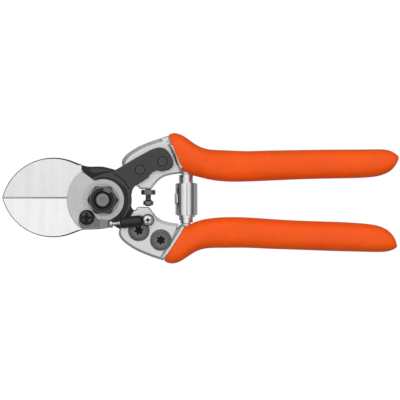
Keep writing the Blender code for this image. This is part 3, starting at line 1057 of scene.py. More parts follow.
@dataclass(frozen=True)
class CastAluminium(Finish):
    """Bead-blasted and lightly ground aluminium casting."""

    grain: float = 2200.0

    def paint(self, coat: Coat) -> None:
        """Fine blasted grain, cloudy tone and soft gloss.

        Args:
            coat: The material's nodes.
        """
        skin_marks = CastSkin.use(coat, Grain=self.grain)
        patches = Handling.use(coat, Patch=110.0).outputs[0]
        base = coat.blend(patches, self.shade(0.95), self.shade(1.05))
        coat.put("Base Color", coat.blend(skin_marks.outputs["Specks"], base, self.shade(0.84)))
        coat.put("Metallic", 0.9)
        self.gloss(coat, patches, 0.04, 0.06)
        coat.relief(skin_marks.outputs["Pebbles"], 0.02)


@dataclass(frozen=True)
class DippedSkin(Finish):
    """Dipped vinyl: saturated, satin, with a faint orange-peel surface."""

    def paint(self, coat: Coat) -> None:
        """Slow drifts of colour, orange-peel relief and a soft shine.

        Args:
            coat: The material's nodes.
        """
        patches = Handling.use(coat, Patch=45.0).outputs[0]
        peel = coat.noise(coat.place, 420.0, 2.0, 0.4)
        coat.put("Base Color", coat.blend(patches, self.shade(0.93), self.shade(1.06)))
        self.gloss(coat, patches, 0.05, 0.07)
        coat.put("Specular IOR Level", 0.2)
        coat.put("Subsurface Weight", 0.06)
        coat.put("Subsurface Radius", (0.0016, 0.0005, 0.0002))
        coat.relief(peel, 0.05)


@dataclass(frozen=True)
class Moulded(Finish):
    """Moulded black plastic with a fine grain."""

    def paint(self, coat: Coat) -> None:
        """A fine grain, scuffed patches and slightly paler edges.

        Args:
            coat: The material's nodes.
        """
        skin_marks = CastSkin.use(coat, Grain=2600.0)
        patches = Handling.use(coat, Patch=260.0).outputs[0]
        worn = EdgeWear.use(coat, Width=0.0003, Amount=0.3).outputs[0]
        base = coat.blend(patches, self.shade(0.85), self.shade(1.2))
        coat.put("Base Color", coat.blend(worn, base, self.shade(2.2)))
        self.gloss(coat, patches, 0.05, 0.1)
        coat.relief(skin_marks.outputs["Pebbles"], 0.012)


@dataclass(frozen=True)
class Plated(Finish):
    """Bright plated or tempered steel, slightly clouded."""

    across: Spot = (1.0, 1.0, 1.0)
    contrast: float = 0.1

    def paint(self, coat: Coat) -> None:
        """Clouds, rolling lines and small differences of gloss.

        Args:
            coat: The material's nodes.
        """
        marks = GrindMarks.use(coat, Across=self.across, Fineness=1800.0)
        patches = Handling.use(coat, Patch=300.0).outputs[0]
        tone = coat.weigh(marks.outputs["Bands"], 0.5, patches, 0.5)
        colour = coat.blend(tone, self.shade(1 - self.contrast), self.shade(1 + self.contrast))
        coat.put("Base Color", colour)
        coat.put("Metallic", 1.0)
        self.gloss(coat, patches, 0.05, 0.08)
        coat.relief(marks.outputs["Marks"], 0.004)


LEAF_GROUND = GroundSteel("leaf_ground", (0.9, 0.9, 0.9), 0.28, Direction.ALONG_Y)
SEAT_GROUND = GroundSteel(
    "seat_ground", (0.64, 0.643, 0.646), 0.38, Direction.SLANTED, 2600.0, 0.05
)
SEAT_TURNED = TurnedSteel("seat_turned", (0.56, 0.565, 0.57), 0.36, fineness=1800.0)
# Darker copy of the ground steel for the cutting edge's bevel: painted shade, the bevel's tilt away
# from the light done in colour.
EDGE_SHADE_GROUND = GroundSteel("edge_painted_shade", (0.35, 0.353, 0.356), 0.3, Direction.ALONG_Y, 3600.0, 0.04)
BLACK_FORGED = ForgedBlack("black_forged", (0.058, 0.058, 0.059), 0.46)
# Near-black forging: the leaf's real black rim, and also painted shade in the grooves, holes,
# sunken faces and seams it is put on.
BLACK_RIM_AND_SHADE = ForgedBlack("black_rim_and_painted_shade", (0.02, 0.02, 0.021), 0.42, wear=0.1)
# Near-black finish put into driver sockets: painted shade in the recess.
SOCKET_SHADE = ForgedBlack("socket_painted_shade", (0.008, 0.008, 0.008), 0.6, wear=0.0)
KEEPER_GROUND = GroundSteel(
    "keeper_ground", (0.3, 0.302, 0.304), 0.38, Direction.SLANTED, 2600.0, 0.08
)
ALUMINIUM = CastAluminium("cast_aluminium", (0.84, 0.845, 0.85), 0.38)
ORANGE = DippedSkin("orange_dip", (0.98, 0.098, 0.001), 0.46)
BLACK_PLASTIC = Moulded("black_plastic", (0.013, 0.013, 0.0135), 0.42)
BRIGHT_ZINC = Plated("bright_zinc", (0.86, 0.86, 0.85), 0.2)
SPRING_STRIP = Plated("spring_strip", (0.95, 0.955, 0.96), 0.15, (1.0, 0.04, 1.0), 0.07)
BUSH_BRONZE = Plated("bush_bronze", (0.55, 0.36, 0.16), 0.32)
DARK_STEEL = Plated("dark_steel", (0.2, 0.2, 0.205), 0.3, (1.0, 0.2, 1.0), 0.2)


def dress(
    piece: Piece, finish: Finish, where: Callable[[Vector, Vector], bool] | None = None
) -> Piece:
    """Give a finish to the whole piece, or to the faces that a test picks.

    Args:
        piece: The piece.
        finish: The finish.
        where: Test of a face's middle, in millimetres, and its normal.

    Returns:
        The same piece.
    """
    material = finish.material()
    if where is None:
        piece.data.materials.clear()
        piece.data.materials.append(material)
        for face in piece.data.polygons:
            face.material_index = 0
        return piece
    names = [m.name for m in piece.data.materials]
    if material.name not in names:
        piece.data.materials.append(material)
        names.append(material.name)
    for face in piece.data.polygons:
        if where(face.center / MM, face.normal):
            face.material_index = names.index(material.name)
    return piece


# ------------------------------------------------------------------ blades

FLAT_FACE = 0.97  # a face whose normal has at least this much of Z counts as flat
PROUD = 0.03  # how far joined solids stand off each other's faces, so that none coincide

TANG = (
    curve([(15.3, 3.4), (16.5, 6.6), (18.3, 8.3)], 3)
    + [(24.4, 12.2)]
    + curve([(25.9, 14.3), (27.6, 15.8), (29.8, 16.3), (32.6, 15.8), (36.2, 16.8)], 3)
    + curve([(38.3, 18.6), (38.4, 21.8), (36.8, 25.2), (34.2, 28.1), (30.6, 29.0), (26.0, 27.6)], 4)
    + [(17.4, 22.9), (10.7, 18.9)]
    + curve([(6.6, 16.6), (3.1, 15.3), (-1.5, 14.2), (-6.7, 11.9)], 3)
)


class SubAssembly(ABC):
    """A group of pieces that is built, dressed and mounted together."""


    @abstractmethod
    def build(self) -> list[Piece]:
        """Build the pieces."""


@dataclass
class HalfAssembly(SubAssembly):
    """A sub-assembly that both halves of the shears have."""

    half: Half

    @property
    def front(self) -> bool:
        """Whether it belongs to the front half."""
        return self.half is Half.FRONT


@dataclass
class Blade(HalfAssembly):
    """One forged half-leaf blade with its ground leaf, hub and black tang."""

    gap: float = 0.15
    hub_r: float = 19.95
    ring_r: float = 15.4
    disc_r: float = 11.6
    boss_r: float = 12.7
    hub_face: float = 4.85
    forged_face: float = 4.3
    relief: float = 0.95
    edge_t: float = 0.6
    spine_t: float = 3.4
    leaf_r: float = 29.3
    leaf_x: float = -27.8
    leaf_mid_y: float = 1.45
    leaf_drop: float = 7.3
    leaf_end_x: float = -17.3
    tip_x: float = -56.0
    rim_slim: float = 0.42
    rim_wide: float = 0.95
    rim_wide_front: float = 0.75
    front_parting: float = 1.7
    rear_parting: float = 0.8
    edge_bevel: float = 0.95
    bore_r: dict[Half, float] = field(default_factory=lambda: {Half.FRONT: 4.3, Half.REAR: 5.9})
    screw_spots: dict[Half, tuple[Flat, Flat]] = field(
        default_factory=lambda: {
            Half.FRONT: ((20.1, 16.7), (32.6, 21.3)),
            Half.REAR: ((19.6, -16.8), (31.7, -22.1)),
        }
    )
    tap_r: float = 2.66
    lock_spot: Flat = (-9.0, -9.6)
    lock_hole_r: float = 2.1

    @property
    def name(self) -> str:
        """Name of the blade's CAD node."""
        return "front_blade" if self.front else "rear_blade"

    def facing(self, rings: Sequence[Sequence[Spot]]) -> list[list[Spot]]:
        """Front-blade points over the shear plane, as they are or mirrored to the rear blade."""
        side = self.half.value
        return [[(x, side * y, SHEAR_Z + side * z) for x, y, z in ring] for ring in rings]

    def slab(
        self, label: str, outline: Sequence[Flat], low: float, high: float, draft: float = 0.0
    ) -> Piece:
        """A plate in front-blade terms, its upper face drawn in by a draft.

        Args:
            label: Name of the solid.
            outline: Its outline.
            low: Height of its lower face.
            high: Height of its upper face.
            draft: How far the upper face is drawn in.

        Returns:
            The solid.
        """
        ring = counter_clockwise(outline)
        top = inset(ring, draft) if draft else ring
        rings = [[(x, y, low) for x, y in ring], [(x, y, high) for x, y in top]]
        return skin(label, self.facing(rings))

    def parting(self) -> float:
        """How far up this blade's cutting edge lies, in front-blade terms."""
        return self.front_parting if self.front else -self.rear_parting

    def leaf_edge(self, end_x: float, steps: int) -> list[Flat]:
        """Points along the leaf's outer edge from its tip, in front-blade terms.

        Args:
            end_x: Where the edge ends, in X.
            steps: Stretches between the points.

        Returns:
            The points.
        """
        middle = self.leaf_mid_y if self.front else -self.leaf_mid_y
        centre_y = middle + self.leaf_drop
        level = self.front_parting if self.front else -self.front_parting
        tip_x = self.leaf_x - math.sqrt(self.leaf_r**2 - (centre_y - level) ** 2)
        ends = [-math.degrees(math.acos((x - self.leaf_x) / self.leaf_r)) for x in (tip_x, end_x)]
        return arc((self.leaf_x, centre_y), self.leaf_r, ends[0], ends[1], steps)

    def heel(self) -> list[Flat]:
        """Edge from the leaf to the hub's far side, in front-blade terms.

        Returns:
            The points.
        """
        if self.front:
            return curve([(-14.0, -17.3), (-10.7, -16.4), (-4.1, -16.2), (2.5, -15.5)], 4)
        return curve(
            [(-14.0, -20.2), (-10.7, -19.0), (-7.4, -18.5), (-0.8, -18.5), (5.9, -16.9)], 4
        )

    def leaf(self) -> Piece:
        """The ground leaf with its black outer rim and its bevelled cutting edge, the bevel painted
        darker as shade.

        Returns:
            The leaf.
        """
        parting = self.parting()
        heel = self.heel()
        last = (heel[4][0] + 0.1, heel[4][1] + 0.6)
        radius = self.hub_r - 1.5
        start = math.degrees(math.atan2(last[1], last[0])) - 2.0
        stop = -180 + math.degrees(math.asin(-parting / radius))
        cut_off = arc((0, 0), radius, start, stop, 10)
        ring = [*self.leaf_edge(self.leaf_end_x, 40), *heel[:4], last, *cut_off]

        def edge(inner: bool) -> Callable[[float, float], float]:
            """Inset widths of a face: the black rim, and a bevel on the cutting edge.

            Args:
                inner: Whether it is the face that meets the other blade.

            Returns:
                The width at any edge.
            """
            wide = self.rim_wide if inner or not self.front else self.rim_wide_front

            def width(x: float, y: float) -> float:
                """Inset width: slim at the tip, wide at the hub, none at the cut-off.

                Args:
                    x: The edge's middle, in X.
                    y: The edge's middle, in Y.

                Returns:
                    The width.
                """
                if math.hypot(x, y) < self.hub_r - 0.9:
                    return 0.0
                if y > parting - 1.0 and x > self.tip_x + 0.5:
                    return 0.0 if inner else self.edge_bevel
                if x > heel[1][0]:
                    return self.rim_slim
                toward_hub = min(1.0, max(0.0, (x + 45) / 30))
                return self.rim_slim + (wide - self.rim_slim) * toward_hub**2

            return width

        slope = (self.spine_t - self.edge_t) / (self.leaf_r - self.leaf_drop)

        def crown(y: float) -> float:
            """Height of the ground face."""
            return self.edge_t + slope * (parting - y)

        def on_edge(x: float, y: float) -> bool:
            """Whether a point of the outline lies on the cutting edge."""
            return y > parting - 0.05 or x < self.tip_x + 0.1

        def wall(x: float, y: float, share: float) -> float:
            """Height of the outer wall's lower or upper end, as a share of the thickness.

            Args:
                x: The point's X.
                y: The point's Y.
                share: The share.

            Returns:
                The height.
            """
            thick = crown(y) - self.gap
            if on_edge(x, y):
                return self.gap + (0.03 if share < 0.5 else 0.1)
            rise = share * thick
            return self.gap + (min(0.4, rise) if share < 0.5 else max(thick - 0.55, rise))

        rings = [
            [(x, y, self.gap) for x, y in inset(ring, edge(True))],
            [(x, y, wall(x, y, 0.35)) for x, y in ring],
            [(x, y, wall(x, y, 0.65)) for x, y in ring],
            [(x, y, crown(y)) for x, y in inset(ring, edge(False))],
        ]
        made = skin("leaf", self.facing(rings))
        dress(made, BLACK_RIM_AND_SHADE)
        side = self.half.value
        dress(made, LEAF_GROUND, lambda _, n: abs(n.z) > FLAT_FACE)

        def bevelled(c: Vector, n: Vector) -> bool:
            """Whether a face is on the bevel of the cutting edge."""
            return abs(n.z) <= FLAT_FACE and side * c.y > parting - 1.2 and c.x > self.tip_x + 0.6

        # Painted shade: the cutting edge's bevel takes the darker edge finish.
        return dress(made, EDGE_SHADE_GROUND, bevelled)

    def forging(self) -> Piece:
        """The black body behind the leaf: the ring about the pivot and the tang.

        Returns:
            The forging.
        """
        heel = self.heel()
        start = ((heel[3][0] + heel[4][0]) / 2, (heel[3][1] + heel[4][1]) / 2 + PROUD)
        if self.front:
            edge = [start, *heel[5:], *arc((0, 0), self.ring_r, -70, 5, 12), *TANG]
        else:
            mirrored = [(x, -y) for x, y in carried(TANG[2:-6])]
            low = curve([(3.1, 15.3), (-1.5, 14.2), (-6.7, 11.9)], 3)
            lobe = [
                *arc((0, 0), self.ring_r + 1.4, -64, -20, 6), *arc((0, 0), self.ring_r, -10, 5, 3)
            ]
            edge = [start, *heel[5:], *lobe, *mirrored, *low]
        first = math.degrees(math.atan2(start[1], start[0])) + 360 - 3
        ring = [*edge, (-11.6, 15.8), (-12.5, 15.6), *arc((0, 0), self.hub_r - 0.6, 131, first, 14)]
        levels = (self.gap + PROUD, self.forged_face - 0.6, self.forged_face)
        rings = [[(x, y, z) for x, y in ring] for z in levels]
        made = skin("forging", self.facing(rings))
        return soften(dress(made, BLACK_FORGED), 0.55, 3, 50)

    def relieve(self, made: Piece) -> None:
        """Sink the inner face beside the hub, where it doesn't touch the other blade, and paint the
        sunken face near-black as shade.

        Args:
            made: The blade.
        """
        outline = [(-12.45, -16.7), (-12.0, -24.0), (9.0, -24.0), *arc((0, 0), 13.3, -46, -120, 18)]
        tool = self.slab("relief", outline, -2.0, self.relief)
        # Painted shade: the sunken face takes the cutter's near-black finish.
        act(made, Cut.REMOVE, dress(tool, BLACK_RIM_AND_SHADE))

    def hub(self) -> Piece:
        """Ground seat: the sector beside the leaf and the heel below the nut.

        Returns:
            The hub.
        """
        heel = [(-10.6, -16.0), (-4.1, -15.9), (2.7, -15.1), (2.7, -11.3)]
        outline = [
            *arc((0, 0), self.hub_r, 129.3, 232.0, 30), *heel,
            *arc((0, 0), self.disc_r, -75, 114, 40), (-11.2, 15.4),
        ]
        made = self.slab("hub", outline, 1.2, self.hub_face)
        dress(made, SEAT_GROUND)
        return soften(made, 0.28, 3, 30)

    def round_part(self, label: str, profile: Sequence[Flat], segments: int = 72) -> Piece:
        """A solid turned about the pivot axis; heights are over the shear plane."""
        return turned(label, [(r, SHEAR_Z + self.half.value * z) for r, z in profile], segments)

    def discs(self) -> tuple[Piece, Piece]:
        """The turned seat of the nut and the bearing boss on the inner face.

        Returns:
            The seat and the boss.
        """
        top, low = self.hub_face + PROUD, self.gap - 0.02
        r, wide = self.disc_r, self.boss_r
        seat = [(0, 3.0), (r, 3.0), (r, top - 0.25), (r - 0.25, top), (0, top)]
        boss = [(0, low), (wide - 0.3, low), (wide, low + 0.3), (wide, 2.0), (0, 2.0)]
        solids = self.round_part("seat", seat), self.round_part("boss", boss)
        return dress(solids[0], SEAT_TURNED), dress(solids[1], SEAT_TURNED)

    def crown_pad(self) -> Piece:
        """Low raised pad on the relieved inner face above the hub.

        Returns:
            The pad.
        """
        outline = [
            (-8.4, -16.9), (-5.0, -14.7), (0.5, -15.3), (4.4, -15.7), (3.4, -17.1), (-0.6, -17.6),
            (-6.6, -17.7)
        ]
        ring = counter_clockwise(curve([*outline, outline[0]], 4)[:-1])
        rings = [[(x, y, 2.0) for x, y in ring], [(x, y, 0.3) for x, y in inset(ring, 0.25)]]
        made = skin("crown_pad", self.facing(rings))
        return dress(made, BLACK_FORGED)

    def build(self) -> list[Piece]:
        """Join the leaf, forging, pads and hub, then groove and drill the blade.

        Returns:
            The pieces.
        """
        made = self.leaf()
        made.name = f"{self.name}_detailed"
        act(made, Cut.JOIN, self.forging(), self.hub(), *self.discs())
        self.relieve(made)
        if not self.front:
            act(made, Cut.JOIN, self.crown_pad())
        self.groove(made)
        self.drill(made)
        if self.front:
            self.pocket(made)
        polish(made, 38)
        return [mount(made, self.half.body, Slot.GROUND, self.name)]

    def groove(self, made: Piece) -> None:
        """Cut the crease at the tang's root and the groove round the disc, both painted near-black
        as shade.

        Args:
            made: The blade.
        """
        top = self.forged_face
        crease = [*arc((0, 0), 15.9, 22, 68, 12), *arc((0, 0), 15.05, 68, 22, 12)]
        tool = self.slab("crease", crease, top - 0.55, top + 2)
        # Painted shade: the crease's faces take the near-black finish.
        act(made, Cut.REMOVE, dress(tool, BLACK_RIM_AND_SHADE))
        outer = [*arc((0, 0), self.disc_r + 2.3, -62, 30, 24), *arc(
            (0, 0), self.disc_r + 1.1, 48, 108, 14
        )]
        ring = [*outer, *arc((0, 0), self.disc_r, 108, -62, 40)]
        tool = self.slab("disc_groove", ring, top - 0.6, top + 2)
        # Painted shade: the groove's faces take the near-black finish.
        act(made, Cut.REMOVE, dress(tool, BLACK_RIM_AND_SHADE))

    def drill(self, made: Piece) -> None:
        """Bore the pivot hole and the two tapped holes, with lightly countersunk mouths; the tapped
        holes are painted near-black as shade.

        Args:
            made: The blade.
        """
        bore = self.bore_r[self.half]
        face = self.hub_face + PROUD
        wide = bore + 0.6
        profile = [(0, -1), (bore, -1), (bore, face - 0.3), (wide, face + 0.3), (wide, 8), (0, 8)]
        tool = self.round_part("bore", profile, 48)
        act(made, Cut.REMOVE, dress(tool, SEAT_TURNED))
        top, r, wide = self.forged_face, self.tap_r, self.tap_r + 0.24
        profile = [(0, -1), (r, -1), (r, top - 0.12), (wide, top + 0.12), (wide, 8), (0, 8)]
        for x, y in self.screw_spots[self.half]:
            tool = stand(self.round_part("tap", profile, 40), (x, y, 0))
            # Painted shade: the tapped holes and their mouths take the near-black finish.
            act(made, Cut.REMOVE, dress(tool, BLACK_RIM_AND_SHADE))

    def pocket(self, made: Piece) -> None:
        """Sink the keeper plate's pocket and its screw hole into the heel.

        Args:
            made: The blade.
        """
        outline = [
            (-13.7, -10.4), (-13.7, -13.2), (-12.3, -15.75), (2.75, -15.35), (2.75, -10.85),
            (-3.0, -10.4), (-4.55, -8.2), (-8.4, -6.05), (-11.8, -7.35),
        ]
        tool = self.slab("pocket", outline, 3.85, 8)
        act(made, Cut.REMOVE, dress(tool, SEAT_GROUND))
        hole = rod("hole", self.lock_hole_r, SHEAR_Z + 1, SHEAR_Z + 8, 24)
        # Painted shade: the screw hole's wall takes the near-black finish.
        act(made, Cut.REMOVE, dress(stand(hole, (*self.lock_spot, 0)), BLACK_RIM_AND_SHADE))


# ------------------------------------------------------------------ handles

HANDLE_PLATE = (
    arc((0, 0), 19.4, 57, 24.5, 8)
    + [(18.8, 7.4)]
    + [(20.3, 6.3), (20.9, 6.05), (25.6, 6.05), (26.2, 6.4)]
    + curve([(28.0, 8.7), (30.1, 10.7), (33.2, 12.8), (37.3, 14.0), (42.9, 14.8)], 4)
    + [(34.6, 35.1)]
    + curve([(33.7, 34.9), (28.0, 33.2), (21.9, 30.9), (17.3, 28.6), (12.8, 25.5), (10.3, 22.6)], 4)
    + [(9.8, 21.0)]
)
UPPER_GRIP = (
    ((35.9, 36.2), (44.2, 15.0)), ((38.3, 37.5), (46.7, 14.05)), ((42.3, 36.8), (50.0, 13.3)),
    ((46.2, 34.3), (53.2, 12.5)), ((50.0, 31.3), (56.0, 11.75)), ((54.0, 29.1), (59.4, 11.0)),
    ((58.8, 27.85), (63.0, 10.5)), ((65.5, 27.75), (67.8, 10.1)), ((72.1, 27.4), (73.0, 9.95)),
    ((78.7, 27.05), (78.7, 10.1)), ((85.3, 27.25), (85.3, 10.3)), ((92.0, 27.55), (92.0, 10.65)),
    ((108.5, 27.75), (108.5, 11.4)), ((125.1, 28.05), (125.1, 11.8)),
    ((138.0, 28.0), (138.0, 11.95)), ((147.5, 28.1), (146.8, 12.35)),
    ((153.0, 28.25), (151.9, 13.0)), ((157.2, 28.0), (155.8, 14.3)),
    ((160.4, 26.6), (158.9, 15.9)), ((162.6, 24.8), (161.4, 18.9)), ((163.2, 23.9), (162.5, 21.4)),
)
LOWER_GRIP = (
    ((33.5, -33.8), (46.1, -13.7)), ((35.9, -35.4), (48.6, -12.75)),
    ((39.5, -35.35), (51.0, -11.9)), ((43.3, -33.8), (53.6, -11.05)),
    ((47.3, -30.8), (56.4, -10.4)), ((50.8, -28.6), (59.6, -10.0)), ((55.0, -26.95), (63.0, -9.6)),
    ((60.5, -26.5), (67.0, -9.4)), ((67.5, -26.65), (71.5, -9.35)), ((75.4, -26.4), (77.0, -9.4)),
    ((85.3, -26.75), (85.3, -9.9)), ((92.0, -27.2), (92.0, -10.45)),
    ((108.5, -27.6), (108.5, -11.45)), ((125.1, -28.35), (125.1, -11.85)),
    ((138.0, -28.6), (138.0, -12.4)), ((147.0, -28.85), (146.8, -13.15)),
    ((152.5, -28.95), (151.9, -14.0)), ((156.6, -28.75), (155.6, -15.5)),
    ((159.9, -27.75), (158.6, -17.6)), ((161.7, -26.6), (161.0, -20.9)),
    ((162.1, -26.0), (161.7, -23.9)),
)


def rounded_section(
    outer: Flat, inner: Flat, heights: Flat, square: float, sides: int = 24, inset_by: float = 0.0
) -> list[Spot]:
    """Ring of points across a handle.

    Args:
        outer: Point on the handle's outer edge.
        inner: Point on its inner edge.
        heights: Lowest and highest point over the shear plane.
        square: Exponent of the rounding; more than 2 is squarer than an ellipse.
        sides: Number of points.
        inset_by: How far both edges are drawn in.

    Returns:
        The ring.
    """
    a, b = Vector((*outer, 0)), Vector((*inner, 0))
    half = (a - b) / 2
    across = half.normalized() * max(0.3, half.length - inset_by)
    low, high = heights
    ring = []
    for i in range(sides):
        angle = 2 * math.pi * (i + 0.5) / sides
        c, s = math.cos(angle), math.sin(angle)
        spot = (a + b) / 2 + across * math.copysign(abs(c) ** (2 / square), c)
        rise = (1 + math.copysign(abs(s) ** (2 / square), s)) / 2
        ring.append((spot.x, spot.y, SHEAR_Z + low + (high - low) * rise))
    return ring


@dataclass
class Grip(HalfAssembly):
    """A dipped grip: one thick skin over the handle's core, folded over at its root."""

    stations: tuple[tuple[Flat, Flat], ...]
    sides: int = 24
    square: float = 2.5
    wall: float = 1.7
    face: float = 8.7
    notch_r: float = 3.95
    spring_x: float = 45.8

    @property
    def name(self) -> str:
        """Name of the grip's CAD node."""
        return "upper_grip" if self.front else "lower_grip"

    def depth(self, number: int) -> float:
        """Half thickness of a station, less at the root and tip.

        Args:
            number: Number of the station, from the root.

        Returns:
            The half thickness.
        """
        root = (7.45, 7.85, 8.25, 8.5)
        tip = (8.5, 8.15, 7.5, 6.4, 4.6)
        if number < len(root):
            return root[number]
        left = len(self.stations) - number
        return tip[len(tip) - left] if left <= len(tip) else self.face

    def section(self, outer: Flat, inner: Flat, depth: float, inset_by: float = 0.0) -> list[Spot]:
        """Rounded section of the grip between its outer and inner edge points."""
        reach = depth - inset_by
        return rounded_section(outer, inner, (-reach, reach), self.square, self.sides, inset_by)

    def build(self) -> list[Piece]:
        """Skin the sections outside and inside, smooth them and notch them for the spring.

        Returns:
            The pieces.
        """
        rows = list(enumerate(self.stations))
        outside = [self.section(*ends, self.depth(n)) for n, ends in rows]
        inside = [self.section(*ends, self.depth(n), self.wall) for n, ends in rows[1:-3]]
        mouth = [self.section(*self.stations[0], self.depth(0), self.wall * share) for share in (
            1.0, 0.72, 0.2
        )]
        mouth[2] = [(x - 0.15, y, z) for x, y, z in mouth[2]]
        tip = self.section(*self.stations[-1], self.depth(len(rows) - 1), 0.8)
        made = skin(f"{self.name}_dipped", [*reversed(inside), *mouth, *outside, tip])
        dress(made, ORANGE)
        apply(made, "SUBSURF", levels=1, render_levels=1)
        low, high = (11, 20) if self.front else (-20, -11)
        tool = rod("notch", self.notch_r, low, high, 40)
        stand(tool, (self.spring_x, 0, SHEAR_Z), (-90, 0, 0))
        act(made, Cut.REMOVE, dress(tool, ORANGE))
        polish(made, 40)
        return [mount(made, self.half.body, Slot.ORANGE, self.name)]


@dataclass
class Casting(HalfAssembly):
    """A cast aluminium handle: plate, neck, lug, core inside its grip and the spring's seat."""

    plate_t: float = 4.6
    lug: tuple[Flat, ...] = (
        (19.1, 7.0), (20.1, 5.9), (26.1, 5.9), (28.3, 8.8), (29.7, 10.2), (27.0, 12.4),
        (24.9, 11.7), (19.3, 8.1),
    )
    lug_z: tuple[float, float] = (-6.0, -0.35)
    spring_x: float = 45.8
    screw_head_r: float = 5.9
    screw_r: float = 2.8
    head_seat: float = 2.2
    stop_x: float = 24.6
    stop_z: float = -2.3
    stop_bore_r: float = 1.85
    catch_bore_r: float = 1.55
    catch_spot: Flat = (24.7, -11.0)

    @property
    def name(self) -> str:
        """Name of the casting's CAD node."""
        return "upper_handle" if self.front else "lower_handle"

    @property
    def side(self) -> int:
        """Side of the shear plane the plate is on, opposite to the blade it holds."""
        return -self.half.value

    def placed(self, points: Sequence[Flat]) -> list[Flat]:
        """Upper-handle points, carried over for the lower handle."""
        return list(points) if self.front else carried(points)

    def plate(self) -> Piece:
        """The flat plate that holds the tang, with sloped rims.

        Returns:
            The plate.
        """
        side = self.side
        outline = counter_clockwise(HANDLE_PLATE)
        upper = self.front

        def sloped(x: float, y: float) -> float:
            """Width of the sloped rim at an edge of the upper handle's outline.

            Args:
                x: The edge's middle, in X.
                y: The edge's middle, in Y.

            Returns:
                The width.
            """
            if math.hypot(x, y) < 19.8 or (x > 36 and 18 < y < 32):
                return 0.4
            if y > 0.55 * x + 15:
                return 2.2 if upper else 1.35
            return 0.9 if upper or x < 28 else 1.9

        face = inset(outline, sloped)
        heights = (
            (face, 0.15), (outline, 1.9), (outline, self.plate_t - 1.2), (face, self.plate_t)
        )
        rings = [[(x, y, SHEAR_Z + side * z) for x, y in self.placed(ring)] for ring, z in heights]
        return soften(skin("plate", rings), 0.22, 2, 20)

    def across(self, back: float) -> tuple[Flat, Flat]:
        """Outer and inner edge points of the handle, a distance before the grip's root.

        Args:
            back: The distance.

        Returns:
            The two points.
        """
        stations = UPPER_GRIP if self.front else LOWER_GRIP
        (x0, y0), (x1, y1) = stations[0]
        rise = 0.28 * (1 if self.front else -1)
        return (x0 - back, y0 - rise * back - 0.25 * rise / 0.28), (
            x1 - back, y1 - 0.4 * rise * back + rise
        )

    def neck(self) -> Piece:
        """The thick neck to the grip: a ramp on the plate's side, a leaning wall on the tang's.

        Returns:
            The neck.
        """
        side = self.side
        face = self.plate_t - 0.35
        # Distance before the grip's root, reach to the plate's side and to the tang's, squareness.
        rows = (
            (4.0, face - 0.8, -0.4, 14.0), (3.6, face, -0.3, 14.0), (3.0, face + 0.5, -0.3, 10.0),
            (2.4, face + 1.1, -0.3, 7.0), (1.9, face + 1.5, -0.3, 6.0), (1.0, 6.1, -0.1, 4.6),
            (0.3, 6.0, 0.6, 3.2), (-0.4, 5.6, 2.4, 2.6), (-1.5, 5.2, 4.8, 2.4),
        )
        rings = []
        for back, plate_side, tang_side, square in rows:
            heights = (-plate_side, tang_side) if side < 0 else (-tang_side, plate_side)
            drawn = 0.25 if back > 0 else 0.45 - back
            rings.append(rounded_section(*self.across(back), heights, square, 32, drawn))
        return skin("neck", rings)

    def shoulder(self) -> Piece:
        """Raised block beside the tang's end, between the rims, with a leaning wall.

        Returns:
            The block.
        """
        foot = [
            (34.9, 30.9), (36.6, 28.6), (38.4, 25.0), (39.8, 20.8), (41.4, 16.8), (44.2, 16.4),
            (38.6, 30.9)
        ]
        head = [
            (36.2, 30.6), (37.7, 28.8), (39.5, 25.2), (40.8, 21.2), (42.2, 17.8), (44.0, 17.4),
            (38.8, 30.2)
        ]
        side = self.side
        heights = ((foot, 1.0), (foot, -0.6), (head, -6.3))
        rings = [[(x, y, SHEAR_Z + side * z) for x, y in self.placed(ring)] for ring, z in heights]
        return soften(skin("shoulder", rings), 0.5, 3, 30)

    def lug_block(self) -> Piece:
        """The stop's lug.

        Returns:
            The lug.
        """
        low, high = self.lug_z
        if not self.front:
            high = self.plate_t - 0.1
        made = soften(plate("lug", self.placed(self.lug), low, high), 0.8, 1, 30)
        return soften(made, 0.2, 2, 20)

    def core(self) -> Piece:
        """The tapering core inside the grip.

        Returns:
            The core.
        """
        grip = Grip(self.half, UPPER_GRIP if self.front else LOWER_GRIP)
        rows = list(enumerate(grip.stations))[:-3]
        return skin(
            "core", [grip.section(*ends, grip.depth(n), grip.wall + 0.3) for n, ends in rows]
        )

    def peg(self) -> Piece:
        """Seat and peg that hold one end of the spring.

        Returns:
            The peg.
        """
        seat_y = 14.3 if self.front else -13.3
        profile = [
            (0, 4.0), (3.2, 4.0), (3.2, 0.0), (2.2, 0.0), (2.2, -4.2), (1.8, -4.5), (0, -4.5)
        ]
        made = turned("peg", profile, 32)
        return stand(made, (self.spring_x, seat_y, SHEAR_Z), (-90 if self.front else 90, 0, 0))

